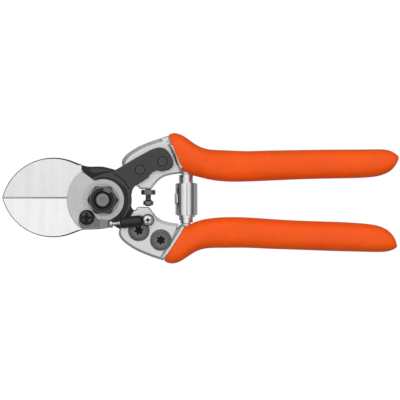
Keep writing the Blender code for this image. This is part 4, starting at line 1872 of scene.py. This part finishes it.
    def build(self) -> list[Piece]:
        """Join the casting's solids, then bore it.

        Returns:
            The pieces.
        """
        made = self.plate()
        made.name = f"{self.name}_cast"
        act(made, Cut.JOIN, self.neck(), self.shoulder(), self.lug_block(), self.core(), self.peg())
        side = self.side
        seat = SHEAR_Z + side * self.head_seat
        face = SHEAR_Z + side * self.plate_t
        r, head = self.screw_r, self.screw_head_r
        hole = [
            (0, SHEAR_Z - side), (r, SHEAR_Z - side), (r, seat), (head, seat),
            (head, face - side * 0.15), (head + 0.3, face + side * 0.15),
            (head + 0.3, face + side * 4), (0, face + side * 4),
        ]
        for spot in Blade(self.half).screw_spots[self.half]:
            act(made, Cut.REMOVE, stand(turned("screw_hole", hole, 64), (*spot, 0)))
        if self.front:
            tool = rod("stop_hole", self.stop_bore_r, 3.9, 11.0)
            act(made, Cut.REMOVE, stand(tool, (self.stop_x, 0, SHEAR_Z + self.stop_z), (-90, 0, 0)))
        else:
            tool = rod("catch_hole", self.catch_bore_r, 10.3, 17.0)
            act(made, Cut.REMOVE, stand(tool, (*self.catch_spot, 0)))
        dress(made, ALUMINIUM)
        polish(made, 38)
        return [mount(made, self.half.body, Slot.ALUMINIUM, self.name)]


# ------------------------------------------------------------------ hardware

def blued(name: str, spot: Flat, tone: float) -> TurnedSteel:
    """Blued steel turned about an axis through a spot."""
    colour = (tone, tone, tone * 1.01)
    return TurnedSteel(f"blued_{name}", colour, 0.33, spot, 2400.0, contrast=0.2, wear=0.55)


def threaded(low: float, high: float, radius: float, pitch: float, depth: float) -> list[Flat]:
    """Profile of a thread's crests and roots between two heights, as radius and height.

    Args:
        low: Lower height.
        high: Upper height.
        radius: The crests' radius.
        pitch: Distance between crests.
        depth: Depth of the roots.

    Returns:
        The profile.
    """
    count = max(1, int((high - low) / pitch))
    step = (high - low) / count
    found: list[Flat] = []
    for i in range(count):
        start = low + i * step
        found += [
            (radius - depth, start), (radius, start + step * 0.35), (radius, start + step * 0.65)
        ]
    return [*found, (radius - depth, high)]


@dataclass
class Pivot(SubAssembly):
    """Bolt, washer and nut on the front half, and the bronze bushing in the rear blade."""

    bolt_r: float = 4.0
    head_flats: float = 13.0
    head_t: float = 3.85
    top: float = 20.9
    washer_r: float = 8.5
    washer_z: tuple[float, float] = (14.15, 15.15)
    nut_flats: float = 14.9
    nut_z: tuple[float, float] = (15.45, 19.95)
    bush_r: float = 5.6

    def hexagon(
        self, name: str, flats: float, low: float, high: float, chamfer: float, up: bool,
        turn: float
    ) -> Piece:
        """A hexagon with a turned chamfer on its corners.

        Args:
            name: Name of the piece.
            flats: Width across flats.
            low: Height of the lower face.
            high: Height of the upper face.
            chamfer: Drop of the chamfer at a corner.
            up: Whether the chamfer is on the upper face.
            turn: Angle of the first corner, in degrees.

        Returns:
            The hexagon.
        """
        ring = polygon(6, flats, turn)
        made = soften(prism(name, ring, low, high), 0.18, 2, 40)
        corner, flat = flats / 2 / math.cos(math.pi / 6), flats / 2
        if up:
            cone = [(0, low - 1), (corner + 1, low - 1), (corner + 1, high - chamfer - 0.55), (
                flat - 0.35, high
            )]
            cone += [(flat - 0.75, high), (0, high)]
        else:
            cone = [
                (0, low), (flat - 0.75, low), (flat - 0.35, low), (corner + 1, low + chamfer + 0.55)
            ]
            cone += [(corner + 1, high + 1), (0, high + 1)]
        return act(made, Cut.KEEP_COMMON, turned("chamfer", cone, 72))

    def bolt(self) -> Piece:
        """The bolt with its hexagon head below and its domed, threaded end above.

        Returns:
            The bolt.
        """
        rim = self.top - 0.5
        thread = threaded(16.0, rim, self.bolt_r, 0.75, 0.28)
        profile = [
            (0, 2), (self.bolt_r, 2), (self.bolt_r, 15.9), *thread, (3.35, 20.78), (2.2, self.top)
        ]
        made = turned("pivot_bolt_detailed", [*profile, (0, self.top)], 64)
        head = self.hexagon("head", self.head_flats, 0, self.head_t, 0.9, False, 30)
        dimple = turned("dimple", [(0, -1), (2.6, -1), (2.6, 0.35), (2.1, 0.55), (0, 0.62)], 40)
        act(head, Cut.REMOVE, dimple)
        act(made, Cut.JOIN, head)
        return polish(dress(made, blued("bolt", (0, 0), 0.24)), 38)

    def nut(self) -> Piece:
        """The nut, chamfered, with a deep countersink round the bolt's end, painted near-black as
        shade.

        Returns:
            The nut.
        """
        low, high = self.nut_z
        made = self.hexagon("pivot_nut_detailed", self.nut_flats, low, high, 1.3, True, 0)
        hole = [
            (0, low - 1), (4.3, low - 1), (4.3, high - 0.7), (4.95, high + 0.1), (4.95, high + 1),
            (0, high + 1)
        ]
        act(made, Cut.REMOVE, turned("bore", hole, 64))
        dress(made, blued("nut", (0, 0), 0.17))
        # Painted shade: the bore and its countersink round the bolt's end are made near-black.
        dress(made, BLACK_RIM_AND_SHADE, lambda c, _: math.hypot(c.x, c.y) < 4.9)
        return polish(made, 38)

    def washer(self) -> Piece:
        """The washer with rounded rims.

        Returns:
            The washer.
        """
        low, high = self.washer_z
        r, hole = self.washer_r, self.bolt_r + 0.3
        profile = [
            (hole, low), (r - 0.25, low), (r, low + 0.25), (r, high - 0.35),
            (r - 0.12, high - 0.12), (r - 0.35, high), (hole, high),
        ]
        return polish(
            dress(turned("pivot_washer_detailed", profile, 96), blued("washer", (0, 0), 0.5)), 50
        )

    def bushing(self) -> Piece:
        """The bronze bushing with chamfered mouths.

        Returns:
            The bushing.
        """
        low, high = SHEAR_Z - 4.8, SHEAR_Z - 0.2
        inner, outer = self.bolt_r + 0.3, self.bush_r
        profile = [
            (inner + 0.3, low), (outer - 0.2, low), (outer, low + 0.2), (outer, high - 0.2),
            (outer - 0.2, high), (inner + 0.3, high), (inner, high - 0.3), (inner, low + 0.3),
        ]
        return polish(dress(turned("pivot_bushing_detailed", profile, 64), BUSH_BRONZE), 40)

    def build(self) -> list[Piece]:
        """Build and mount the four pieces.

        Returns:
            The pieces.
        """
        return [
            mount(self.bolt(), "front_half", Slot.BLUED, "pivot_bolt"),
            mount(self.nut(), "front_half", Slot.BLUED, "pivot_nut"),
            mount(self.washer(), "front_half", Slot.DARK, "pivot_washer"),
            mount(self.bushing(), "rear_half", Slot.BRONZE, "pivot_bushing"),
        ]


@dataclass
class HeelLock(SubAssembly):
    """Keeper plate in the heel's pocket, and the cross-head screw that clamps it."""

    spot: Flat = (-9.0, -9.6)
    screw_r: float = 1.8
    hole_r: float = 2.1
    head_r: float = 4.2
    keeper_z: tuple[float, float] = (13.15, 14.1)
    screw_low: float = 10.4
    head_low: float = 14.4
    head_t: float = 2.3
    outline: tuple[Flat, ...] = (
        (-13.4, -10.6), (-13.4, -13.0), (-12.0, -15.4), (2.4, -15.0), (2.4, -11.2), (-3.2, -10.7),
        (-4.8, -8.4), (-8.4, -6.4), (-11.6, -7.6),
    )

    def keeper(self) -> Piece:
        """The keeper plate, dark and milled on its left part, ground at its right end.

        Returns:
            The keeper plate.
        """
        low, high = self.keeper_z
        made = plate("keeper_plate_detailed", self.outline, low - SHEAR_Z, high - SHEAR_Z)
        soften(made, 0.22, 2, 30)
        hole = rod("hole", self.hole_r, 10, 16)
        act(made, Cut.REMOVE, stand(hole, (*self.spot, 0)))
        step = plate(
            "step", [(-2.3, -20), (-1.9, -20), (-1.9, -5), (-2.3, -5)], high - SHEAR_Z - 0.25, 8
        )
        act(made, Cut.REMOVE, step)
        dress(made, DARK_STEEL)
        dress(made, KEEPER_GROUND, lambda c, _: c.x > -1.95)
        return polish(made, 38)

    def screw(self) -> Piece:
        """The lock screw with a domed head and a cross-shaped socket.

        Returns:
            The screw.
        """
        z, r = self.head_low, self.head_r
        top = z + self.head_t
        profile = [
            (0, self.screw_low),
            (self.screw_r - 0.3, self.screw_low),
            *threaded(self.screw_low + 0.3, z - 0.4, self.screw_r, 0.7, 0.22),
            (self.screw_r, z), (r - 0.15, z), (r, z + 0.15), (r, z + 0.95), (r - 0.22, z + 1.35),
            (r - 0.7, z + 1.75), (r - 1.5, z + 2.08), (r - 2.6, top - 0.04), (0.6, top), (0, top),
        ]
        made = turned("nut_lock_screw_detailed", profile, 64)
        act(made, Cut.REMOVE, cross_tool(2.7, 1.15, top - 1.35, top + 0.4))
        dress(made, blued("lock_screw", self.spot, 0.07))
        # Painted shade: the cross socket's faces take the near-black finish.
        dress(made, SOCKET_SHADE, lambda c, _: c.z > z + 0.9 and in_cross(c.x, c.y, 2.7, 1.15))
        stand(made, (*self.spot, 0))
        return polish(made, 36)

    def build(self) -> list[Piece]:
        """Build and mount the keeper and its screw.

        Returns:
            The pieces.
        """
        return [
            mount(self.keeper(), "front_half", Slot.DARK, "keeper_plate"),
            mount(self.screw(), "front_half", Slot.BLUED, "nut_lock_screw"),
        ]


def in_cross(x: float, y: float, reach: float, width: float) -> bool:
    """Whether a spot lies in a cross-shaped socket at the origin, its walls included."""
    far, near = max(abs(x), abs(y)), min(abs(x), abs(y))
    return far < reach * 1.01 and (near < width * 0.52 or far < width * 1.02)


def cross_tool(reach: float, width: float, low: float, high: float) -> Piece:
    """Cutter for a cross-shaped socket that narrows toward its bottom.

    Args:
        reach: From the middle to the end of an arm.
        width: Width of an arm.
        low: Height of the bottom.
        high: Height of the top.

    Returns:
        The cutter.
    """
    wide = cross_slot(reach, width)
    slim = cross_slot(reach * 0.5, width * 0.62)
    rings = [
        [(x, y, z) for x, y in ring] for ring, z in ((slim, low), (wide, high - 0.35), (wide, high))
    ]
    return skin("cross_tool", rings)


@dataclass
class TangScrews(SubAssembly):
    """The four flat-headed screws that hold the tangs in the castings."""

    radius: float = 2.5
    head_r: float = 5.6
    head_t: float = 2.0
    length: float = 8.7
    face: float = 4.5
    socket_r: float = 2.2
    socket_depth: float = 1.5

    def pattern(self) -> Piece:
        """One screw pointing down from the origin: ringed head, lobed socket, threaded end.

        Returns:
            The screw.
        """
        r, head = self.radius, self.head_r
        profile = [
            (0, -self.length), (r - 0.2, -self.length), (r + 0.05, -self.length + 0.2),
            *threaded(-self.length + 0.5, -self.head_t - 0.2, r, 0.75, 0.25),
            (r, -self.head_t), (head, -self.head_t), (head, -0.45), (head - 0.12, -0.2),
            (head - 0.45, -0.05), (head - 0.9, 0.0), (head - 1.15, 0.0), (head - 1.3, -0.14),
            (head - 1.55, -0.14), (head - 1.7, 0.0), (self.socket_r + 0.9, 0.0),
            (self.socket_r + 0.6, -0.1), (0, -0.1),
        ]
        made = turned("tang_screw", profile, 64)
        ring = lobes(self.socket_r)
        levels = ((0.86, -self.socket_depth), (1.0, -0.35), (1.0, 1.0))
        rings = [[(x * k, y * k, z) for x, y in ring] for k, z in levels]
        # Painted shade: the lobed socket's faces take the near-black finish.
        act(made, Cut.REMOVE, dress(skin("socket", rings), SOCKET_SHADE))
        pin = turned("pin", [(0, -2.5), (0.55, -2.5), (0.55, -1.0), (0.45, -0.85), (0, -0.8)], 24)
        return act(made, Cut.JOIN, pin)

    def build(self) -> list[Piece]:
        """Copy the pattern to its four places.

        Returns:
            The pieces.
        """
        pattern = self.pattern()
        made = []
        for half in Half:
            row = "upper" if half is Half.FRONT else "lower"
            for number, spot in enumerate(Blade(half).screw_spots[half], 1):
                name = f"{row}_tang_screw_{number}"
                screw = twin(pattern, f"{name}_detailed")
                turn = (180.0, 0.0, 20.0 * number) if half is Half.FRONT else (
                    0.0, 0.0, 12.0 * number
                )
                stand(screw, (*spot, SHEAR_Z - half.value * self.face), turn)
                dress(screw, blued(name, spot, 0.16))
                self.shade_socket(screw, spot, half)
                self.dress_end(screw, spot, half)
                polish(screw, 36)
                made.append(mount(screw, half.body, Slot.BLUED, name))
        bpy.data.meshes.remove(pattern.data)
        return made

    def shade_socket(self, screw: Piece, spot: Flat, half: Half) -> None:
        """Paint shade into the socket of a screw in its place, as a near-black finish.

        Args:
            screw: The screw.
            spot: Where its axis is.
            half: The half it holds.
        """
        bottom = SHEAR_Z - half.value * (self.face - 0.12)

        def inside(c: Vector, _: Vector) -> bool:
            """Whether a face lies in the socket."""
            rise = half.value * (c.z - bottom)
            return 0 < rise < 1.6 and math.hypot(c.x - spot[0], c.y - spot[1]) < 2.75

        dress(screw, SOCKET_SHADE, inside)

    @staticmethod
    def dress_end(screw: Piece, spot: Flat, half: Half) -> None:
        """Give a screw's threaded end the tone of the black tang it sits in.

        Args:
            screw: The screw.
            spot: Where its axis is.
            half: The half it holds.
        """
        beyond = SHEAR_Z + half.value * 3.4
        tone = blued(f"end_{half.name.lower()}_{round(spot[0])}", spot, 0.09)
        dress(screw, tone, lambda c, _: half.value * (c.z - beyond) > 0)


@dataclass
class Stop(SubAssembly):
    """The closing stop: a domed screw and its lock nut, both on an axis parallel to Y."""

    x: float = 24.6
    z: float = 6.7
    radius: float = 1.55
    tip_y: float = -3.55
    top_y: float = 9.5
    head_r: float = 2.85
    nut_y: tuple[float, float] = (2.9, 5.6)
    nut_flats: float = 7.0
    nut_bore_r: float = 1.85

    def laid(self, piece: Piece) -> Piece:
        """Lay a piece turned about Z along the stop's axis."""
        return stand(piece, (self.x, 0, self.z), (-90, 0, 0))

    def screw(self) -> Piece:
        """The stop screw: domed tip, hexagon collar, neck and thread.

        Returns:
            The screw.
        """
        tip, r = self.tip_y, self.radius
        profile = [
            (0, tip), (0.7, tip + 0.06), (1.4, tip + 0.28), (2.0, tip + 0.62), (2.2, tip + 0.9),
            (2.35, tip + 2.95), (1.75, tip + 3.5), (r - 0.05, tip + 3.9), (r - 0.1, tip + 4.2),
            *threaded(tip + 4.3, self.top_y - 0.3, r, 0.62, 0.26), (r - 0.45, self.top_y),
            (0, self.top_y),
        ]
        made = turned("stop_screw_detailed", profile, 40)
        flats = 2 * self.head_r * math.cos(math.pi / 6) * 1.02
        ring = polygon(6, flats, 0)
        collar = soften(prism("collar", ring, tip + 0.75, tip + 3.0), 0.3, 3, 40)
        act(made, Cut.JOIN, collar)
        return polish(dress(self.laid(made), DARK_STEEL), 36)

    def nut(self) -> Piece:
        """The lock nut with chamfered corners.

        Returns:
            The nut.
        """
        low, high = self.nut_y
        ring = polygon(6, self.nut_flats, 0)
        made = soften(prism("stop_lock_nut_detailed", ring, low, high), 0.12, 2, 40)
        corner, flat = self.nut_flats / 2 / math.cos(math.pi / 6), self.nut_flats / 2
        cone = [
            (0, low), (flat - 0.1, low), (corner + 0.4, low + 0.55), (corner + 0.4, high - 0.55),
            (flat - 0.1, high), (0, high),
        ]
        act(made, Cut.KEEP_COMMON, turned("chamfer", cone, 64))
        bore = rod("bore", self.nut_bore_r, low - 1, high + 1, 40)
        act(made, Cut.REMOVE, bore)
        return polish(dress(self.laid(made), DARK_STEEL), 36)

    def build(self) -> list[Piece]:
        """Build and mount the screw and the nut.

        Returns:
            The pieces.
        """
        return [
            mount(self.screw(), "stop", Slot.DARK, "stop_screw"),
            mount(self.nut(), "lock_nut", Slot.DARK, "stop_lock_nut"),
        ]


@dataclass
class Catch(SubAssembly):
    """The catch: a moulded barrel with a sprung plunger, on a screw over a wave washer."""

    spot: Flat = (24.7, -11.0)
    turn: float = 186.0
    axis_z: float = 17.6
    barrel_r: float = 3.1
    barrel_x: tuple[float, float] = (3.3, 15.4)
    bore_r: float = 2.2
    eye_r: float = 3.3
    eye_bore_r: float = 1.55
    eye_z: tuple[float, float] = (14.7, 17.35)
    screw_r: float = 1.25
    screw_z: tuple[float, float] = (10.6, 17.65)
    head_r: float = 2.9
    head_t: float = 2.0
    plunger_r: float = 1.0
    collar_r: float = 2.3
    spring_coil_r: float = 1.55
    spring_wire_r: float = 0.22
    spring_x: tuple[float, float] = (5.4, 12.4)
    spring_turns: int = 6

    def along(self, piece: Piece) -> Piece:
        """Lay a piece turned about Z along the barrel's axis."""
        stand(piece, (0, 0, self.axis_z), (0, 90, 0))
        return stand(piece, (*self.spot, 0), (0, 0, self.turn))

    def barrel(self) -> Piece:
        """The moulded barrel, its eye and the bridge between them, bored for the plunger.

        Returns:
            The barrel.
        """
        (near, far), r = self.barrel_x, self.barrel_r
        profile = [
            (0, near), (r - 1.3, near), (r - 0.5, near + 0.25), (r - 0.12, near + 0.75),
            (r, near + 1.3), (r, far - 1.3), (r - 0.1, far - 0.75), (r - 0.45, far - 0.25),
            (r - 1.0, far), (0, far),
        ]
        made = self.along(turned("catch_barrel_moulded", profile, 48))
        low, high = self.eye_z
        eye_profile = [
            (0, low), (self.eye_r, low), (self.eye_r, high - 0.4), (self.eye_r - 0.4, high),
            (0, high)
        ]
        eye = stand(turned("eye", eye_profile, 48), (*self.spot, 0))
        ring = [(1.6, -2.5), (6.2, -2.5), (6.2, 2.5), (1.6, 2.5)]
        bridge = prism("bridge", ring, low, high)
        stand(soften(bridge, 0.35, 3, 40), (*self.spot, 0), (0, 0, self.turn))
        act(made, Cut.JOIN, eye, bridge)
        head = rod("head_room", self.head_r + 0.35, high, 22, 48)
        act(made, Cut.REMOVE, stand(head, (*self.spot, 0)))
        hole = rod("eye_hole", self.eye_bore_r, 10, 22)
        act(made, Cut.REMOVE, stand(hole, (*self.spot, 0)))
        bore = [
            (0, 5.0), (self.bore_r, 5.0), (self.bore_r, 14.3), (1.35, 14.3), (1.35, far - 0.35),
            (1.75, far + 1)
        ]
        act(made, Cut.REMOVE, self.along(turned("bore", [*bore, (0, far + 1)], 40)))
        return polish(dress(made, BLACK_PLASTIC), 42)

    def plunger(self) -> Piece:
        """The plunger: guide pin, shoulder, grooved rod and knob.

        Returns:
            The plunger.
        """
        r, knob = self.plunger_r, self.collar_r
        rod = [(r, 14.0), (r, 15.9)]
        for start in (16.1, 17.1, 18.1):
            rod += [(r - 0.28, start), (r - 0.28, start + 0.25), (r + 0.05, start + 0.5), (
                r + 0.05, start + 0.75
            )]
        profile = [
            (0, 8.0), (r - 0.35, 8.0), (r - 0.2, 8.2), (r - 0.2, 12.8), (self.bore_r - 0.3, 12.8),
            (self.bore_r - 0.3, 14.0), *rod, (r, 19.35), (knob - 0.2, 19.6), (knob, 19.8),
            (knob, 20.75), (knob - 0.18, 21.05), (knob - 0.6, 21.25), (0.7, 21.3), (0, 21.3),
        ]
        return polish(
            dress(self.along(turned("catch_plunger_plated", profile, 40)), BRIGHT_ZINC), 36
        )

    def screw(self) -> Piece:
        """The pivot screw with a domed head and a cross-shaped socket.

        Returns:
            The screw.
        """
        low, z = self.screw_z
        r, top = self.head_r, z + self.head_t
        profile = [
            (0, low), (self.screw_r - 0.2, low),
            *threaded(low + 0.2, 14.0, self.screw_r, 0.6, 0.2), (self.screw_r, 14.1),
            (self.screw_r, z), (r - 0.1, z), (r, z + 0.12), (r, z + 0.85), (r - 0.2, z + 1.3),
            (r - 0.6, z + 1.65), (r - 1.2, z + 1.88), (0.5, top), (0, top),
        ]
        made = turned("catch_pivot_screw_plated", profile, 48)
        act(made, Cut.REMOVE, cross_tool(1.75, 0.7, top - 1.15, top + 0.3))
        stand(made, (*self.spot, 0), (0, 0, 8))
        dress(made, BRIGHT_ZINC)
        x0, y0 = self.spot

        def inside(c: Vector, _: Vector) -> bool:
            """Whether a face lies in the socket."""
            return z + 0.6 < c.z < top - 0.1 and math.hypot(c.x - x0, c.y - y0) < 1.35

        # Painted shade: the cross socket's faces take the near-black finish.
        return polish(dress(made, SOCKET_SHADE, inside), 36)

    def wave_washer(self) -> Piece:
        """The wave washer: a thin ring bent up and down three times round.

        Returns:
            The washer.
        """
        inner, outer, waves, steps = 1.75, 3.0, 3, 60
        deselect_all()
        bpy.ops.mesh.primitive_grid_add(x_subdivisions=steps, y_subdivisions=3, size=1)
        made = bpy.context.object
        made.name = "catch_wave_washer_bent"
        for vertex in made.data.vertices:
            angle = (vertex.co.x + 0.5) * 2 * math.pi
            reach = inner + (outer - inner) * (vertex.co.y + 0.5)
            height = 14.15 + 0.09 * math.cos(waves * angle)
            vertex.co = Vector((reach * math.cos(angle), reach * math.sin(angle), height)) * MM
        start_edit()
        end_edit(1e-6)
        apply(made, "SOLIDIFY", thickness=0.3 * MM, offset=0.0)
        stand(made, (*self.spot, 0))
        return polish(dress(made, BRIGHT_ZINC), 50)

    def coil(self) -> Piece:
        """The plunger's wire spring.

        Returns:
            The spring.
        """
        steps = self.spring_turns * 20
        low, high = self.spring_x
        rings = []
        for i in range(steps + 1):
            turn = 2 * math.pi * self.spring_turns * i / steps
            height = low + (high - low) * i / steps
            ring = []
            for k in range(10):
                around = 2 * math.pi * k / 10
                reach = self.spring_coil_r + self.spring_wire_r * math.cos(around)
                up = self.spring_wire_r * math.sin(around)
                ring.append((reach * math.cos(turn), reach * math.sin(turn), height + up))
            rings.append(ring)
        made = polish(dress(self.along(skin("plunger_spring_wound", rings)), SPRING_STRIP), 50)
        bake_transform(made)
        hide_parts("plunger_spring")
        log.info("%s: %d faces, shortens with the plunger", made.name, len(made.data.polygons))
        return made

    def build(self) -> list[Piece]:
        """Build the catch's five pieces and mount four of them.

        Returns:
            The pieces.
        """
        return [
            mount(self.barrel(), "catch", Slot.BLACK, "catch_barrel"),
            mount(self.plunger(), "plunger", Slot.ZINC, "catch_plunger"),
            self.coil(),
            mount(self.screw(), "rear_half", Slot.ZINC, "catch_pivot_screw"),
            mount(self.wave_washer(), "rear_half", Slot.ZINC, "catch_wave_washer"),
        ]


@dataclass
class Volute(SubAssembly):
    """The volute spring: one strip scrolled so that its inner turns stand out at both ends."""

    x: float = 45.8
    thickness: float = 0.5
    start: float = 88.5
    across: int = 10
    tongue_angles: tuple[int, int, int] = (146, 206, 4)
    tongue_r: tuple[float, float] = (6.15, 6.55)
    path: tuple[tuple[float, float, float, float], ...] = (
        (0.0, 5.85, -8.1, 9.0), (0.35, 5.85, -8.3, 9.2), (0.8, 5.8, -8.3, 9.2),
        (0.984, 5.78, -8.4, 9.25), (1.0, 5.15, -8.5, 9.25), (1.5, 4.9, -8.9, 9.4),
        (1.9, 4.4, -9.6, 9.8), (2.2, 3.95, -10.8, 13.4), (2.6, 3.45, -12.0, 14.0),
        (3.2, 3.2, -13.0, 14.0), (3.6, 3.15, -13.0, 14.0),
    )

    def strip(self) -> Piece:
        """The scrolled strip: radius and ends change from turn to turn.

        Returns:
            The strip.
        """
        row = curve(self.path, 14)
        deselect_all()
        bpy.ops.mesh.primitive_grid_add(
            x_subdivisions=len(row) - 1, y_subdivisions=self.across, size=1
        )
        made = bpy.context.object
        made.name = "volute_spring_scrolled"
        for vertex in made.data.vertices:
            number = round((vertex.co.x + 0.5) * (len(row) - 1))
            turns, radius, low, high = row[number]
            share = vertex.co.y + 0.5
            angle = math.radians(self.start) + 2 * math.pi * turns
            y = low + (high - low) * share
            spot = Vector(
                (self.x + radius * math.cos(angle), y, SHEAR_Z + radius * math.sin(angle))
            )
            vertex.co = spot * MM
        start_edit()
        end_edit()
        apply(made, "SOLIDIFY", thickness=self.thickness * MM, offset=0.0, use_even_offset=True)
        return made

    def tongue(self) -> Piece:
        """The strip's outer end: a short tongue lying on the left of the coil.

        Returns:
            The tongue.
        """
        rings = []
        first, last, step = self.tongue_angles
        for angle in range(first, last + 1, step):
            edge = 1.0 if first + step < angle < last - step else 0.72
            low, high = -2.3 * edge + 0.4 * (1 - edge), 3.8 * edge
            a = math.radians(angle)
            ring = []
            inner, outer = self.tongue_r
            for radius, y in ((inner, low), (inner, high), (outer, high), (outer, low)):
                ring.append((self.x + radius * math.cos(a), y, SHEAR_Z + radius * math.sin(a)))
            rings.append(ring)
        return skin("tongue", rings)

    def build(self) -> list[Piece]:
        """Build the scroll and dress it, and hide the CAD spring it stands in for.

        Returns:
            The pieces.
        """
        made = self.strip()
        tongue = self.tongue()
        pick(made)
        tongue.select_set(True)
        bpy.ops.object.join()
        soften(made, 0.1, 2, 50)
        dress(made, SPRING_STRIP)

        def at_shaded_seam(c: Vector, _: Vector) -> bool:
            """Whether a face lies in the seam beside the outer turn's end, which is painted
            near-black as shade.
            """
            across, up = c.x - self.x, c.z - SHEAR_Z
            return 0.1 < across < 1.0 and up > 4.6 and math.hypot(across, up) < 5.95

        # Painted shade: the seam's faces take the near-black finish.
        polish(dress(made, BLACK_RIM_AND_SHADE, at_shaded_seam), 50)
        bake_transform(made)
        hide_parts("volute_spring")
        log.info("%s: %d faces, bends between the halves", made.name, len(made.data.polygons))
        return [made]


# ------------------------------------------------------------------ studio


@dataclass
class Studio:
    """Plain pale floor, soft light and the camera straight above the shears."""

    centre: Flat = (53.3, 0.0)
    frame_width: float = 220.8
    focus_z: float = 12.0
    lens: float = 150.0
    sensor: float = 36.0
    matt_gain: float = 1.85
    floor_light: float = 0.3
    floor_shown: float = 1.02
    brightest: Spot = (-0.05, 0.34, 0.94)
    sky_levels: tuple[Flat, ...] = (
        (0.0, 0.2), (0.45, 0.2), (0.6, 0.13), (0.7, 0.1), (0.77, 0.16),
        (0.82, 0.56), (0.9, 0.7), (0.95, 0.82), (1.0, 1.0),
    )

    def floor(self) -> None:
        """A wide pale floor under the shears; from below it is seen through."""
        deselect_all()
        bpy.ops.mesh.primitive_plane_add(size=6.0, location=(self.centre[0] * MM, 0, -0.0002))
        made = bpy.context.object
        made.name = "studio_floor"
        start_edit()
        bpy.ops.mesh.subdivide(number_cuts=3)
        bpy.ops.object.mode_set(mode="OBJECT")
        settle(made)
        finish = bpy.data.materials.new("studio_floor")
        finish.use_nodes = True
        wires = Wiring(finish.node_tree)
        wires.tree.nodes.remove(wires.tree.nodes["Principled BSDF"])
        out = wires.tree.nodes["Material Output"]
        levels = []
        for strength in (self.floor_light, self.floor_shown):
            glow = wires.node("ShaderNodeEmission")
            glow.inputs["Color"].default_value = (1, 1, 1, 1)
            glow.inputs["Strength"].default_value = strength
            levels.append(glow.outputs[0])
        clear = wires.node("ShaderNodeBsdfTransparent")
        to_camera = wires.node("ShaderNodeLightPath").outputs["Is Camera Ray"]
        from_below = wires.node("ShaderNodeNewGeometry").outputs["Backfacing"]
        seen = wires.choose(to_camera, *levels)
        wires.feed(out.inputs["Surface"], wires.choose(from_below, seen, clear.outputs[0]))
        made.data.materials.append(finish)

    def sky(self) -> None:
        """Soft light from overhead that falls off toward the horizon; the backdrop is white."""
        world = bpy.data.worlds.new("studio_sky")
        bpy.context.scene.world = world
        world.use_nodes = True
        wires = Wiring(world.node_tree)
        back = wires.tree.nodes["Background"]
        place = wires.node("ShaderNodeTexCoord").outputs["Generated"]
        toward = wires.vector("DOT_PRODUCT", place, Vector(self.brightest).normalized())
        ramp = wires.node("ShaderNodeValToRGB")
        stops = self.sky_levels
        elements = ramp.color_ramp.elements
        elements[0].position, elements[0].color = stops[0][0], (stops[0][1],) * 3 + (1.0,)
        elements[1].position, elements[1].color = stops[-1][0], (stops[-1][1],) * 3 + (1.0,)
        for position, level in stops[1:-1]:
            elements.new(position).color = (level, level, level, 1.0)
        wires.feed(ramp.inputs[0], wires.spread(toward, -1.0, 1.0))
        path = wires.node("ShaderNodeLightPath")
        shown = wires.blend(path.outputs["Is Camera Ray"], ramp.outputs[0], (1, 1, 1, 1))
        gain = wires.spread(path.outputs["Is Diffuse Ray"], 0.0, 1.0, 1.0, self.matt_gain)
        wires.feed(back.inputs["Strength"], gain)
        wires.feed(back.inputs["Color"], shown)

    def lamp(self, name: str, at: Spot, size: float, watts: float) -> None:
        """A square area light, in metres, aimed at the middle of the shears.

        Args:
            name: Name of the lamp.
            at: Where it stands.
            size: Side of the square.
            watts: Its power.
        """
        light = bpy.data.lights.new(name, "AREA")
        light.shape = "SQUARE"
        light.size = size
        light.energy = watts
        made = bpy.data.objects.new(name, light)
        bpy.context.scene.collection.objects.link(made)
        made.location = at
        aim = Vector((self.centre[0] * MM, 0, 0)) - Vector(at)
        made.rotation_mode = "QUATERNION"
        made.rotation_quaternion = aim.to_track_quat("-Z", "Y")

    def camera(self) -> None:
        """The camera straight above the shears, its frame as wide as they and their margin."""
        lens = bpy.data.cameras.new("overhead")
        lens.lens = self.lens
        lens.sensor_width = self.sensor
        lens.dof.use_dof = False
        made = bpy.data.objects.new("overhead", lens)
        bpy.context.scene.collection.objects.link(made)
        distance = self.frame_width * self.lens / self.sensor
        made.location = Vector((*self.centre, self.focus_z + distance)) * MM
        lens.clip_start, lens.clip_end = 0.01, 10.0
        bpy.context.scene.camera = made

    def build(self) -> None:
        """Set up the camera, floor, sky and lamps."""
        self.camera()
        self.floor()
        self.sky()
        self.lamp("key", (-0.35, 0.75, 1.1), 0.5, 0.6)
        self.lamp("fill", (0.5, -0.7, 1.0), 0.7, 0.4)
        bpy.context.scene.view_settings.view_transform = "Standard"


def main() -> None:
    """Build, dress and mount every sub-assembly, then the studio."""
    logging.basicConfig(level=logging.INFO, format="%(message)s")
    works: list[SubAssembly] = [
        Blade(Half.FRONT),
        Blade(Half.REAR),
        Casting(Half.FRONT),
        Casting(Half.REAR),
        Grip(Half.FRONT, UPPER_GRIP),
        Grip(Half.REAR, LOWER_GRIP),
        Pivot(),
        HeelLock(),
        TangScrews(),
        Stop(),
        Catch(),
        Volute(),
    ]
    made = [piece for work in works for piece in work.build()]
    log.info("%d pieces, %d faces", len(made), sum(len(p.data.polygons) for p in made))
    Studio().build()


if __name__ == "__main__":
    main()
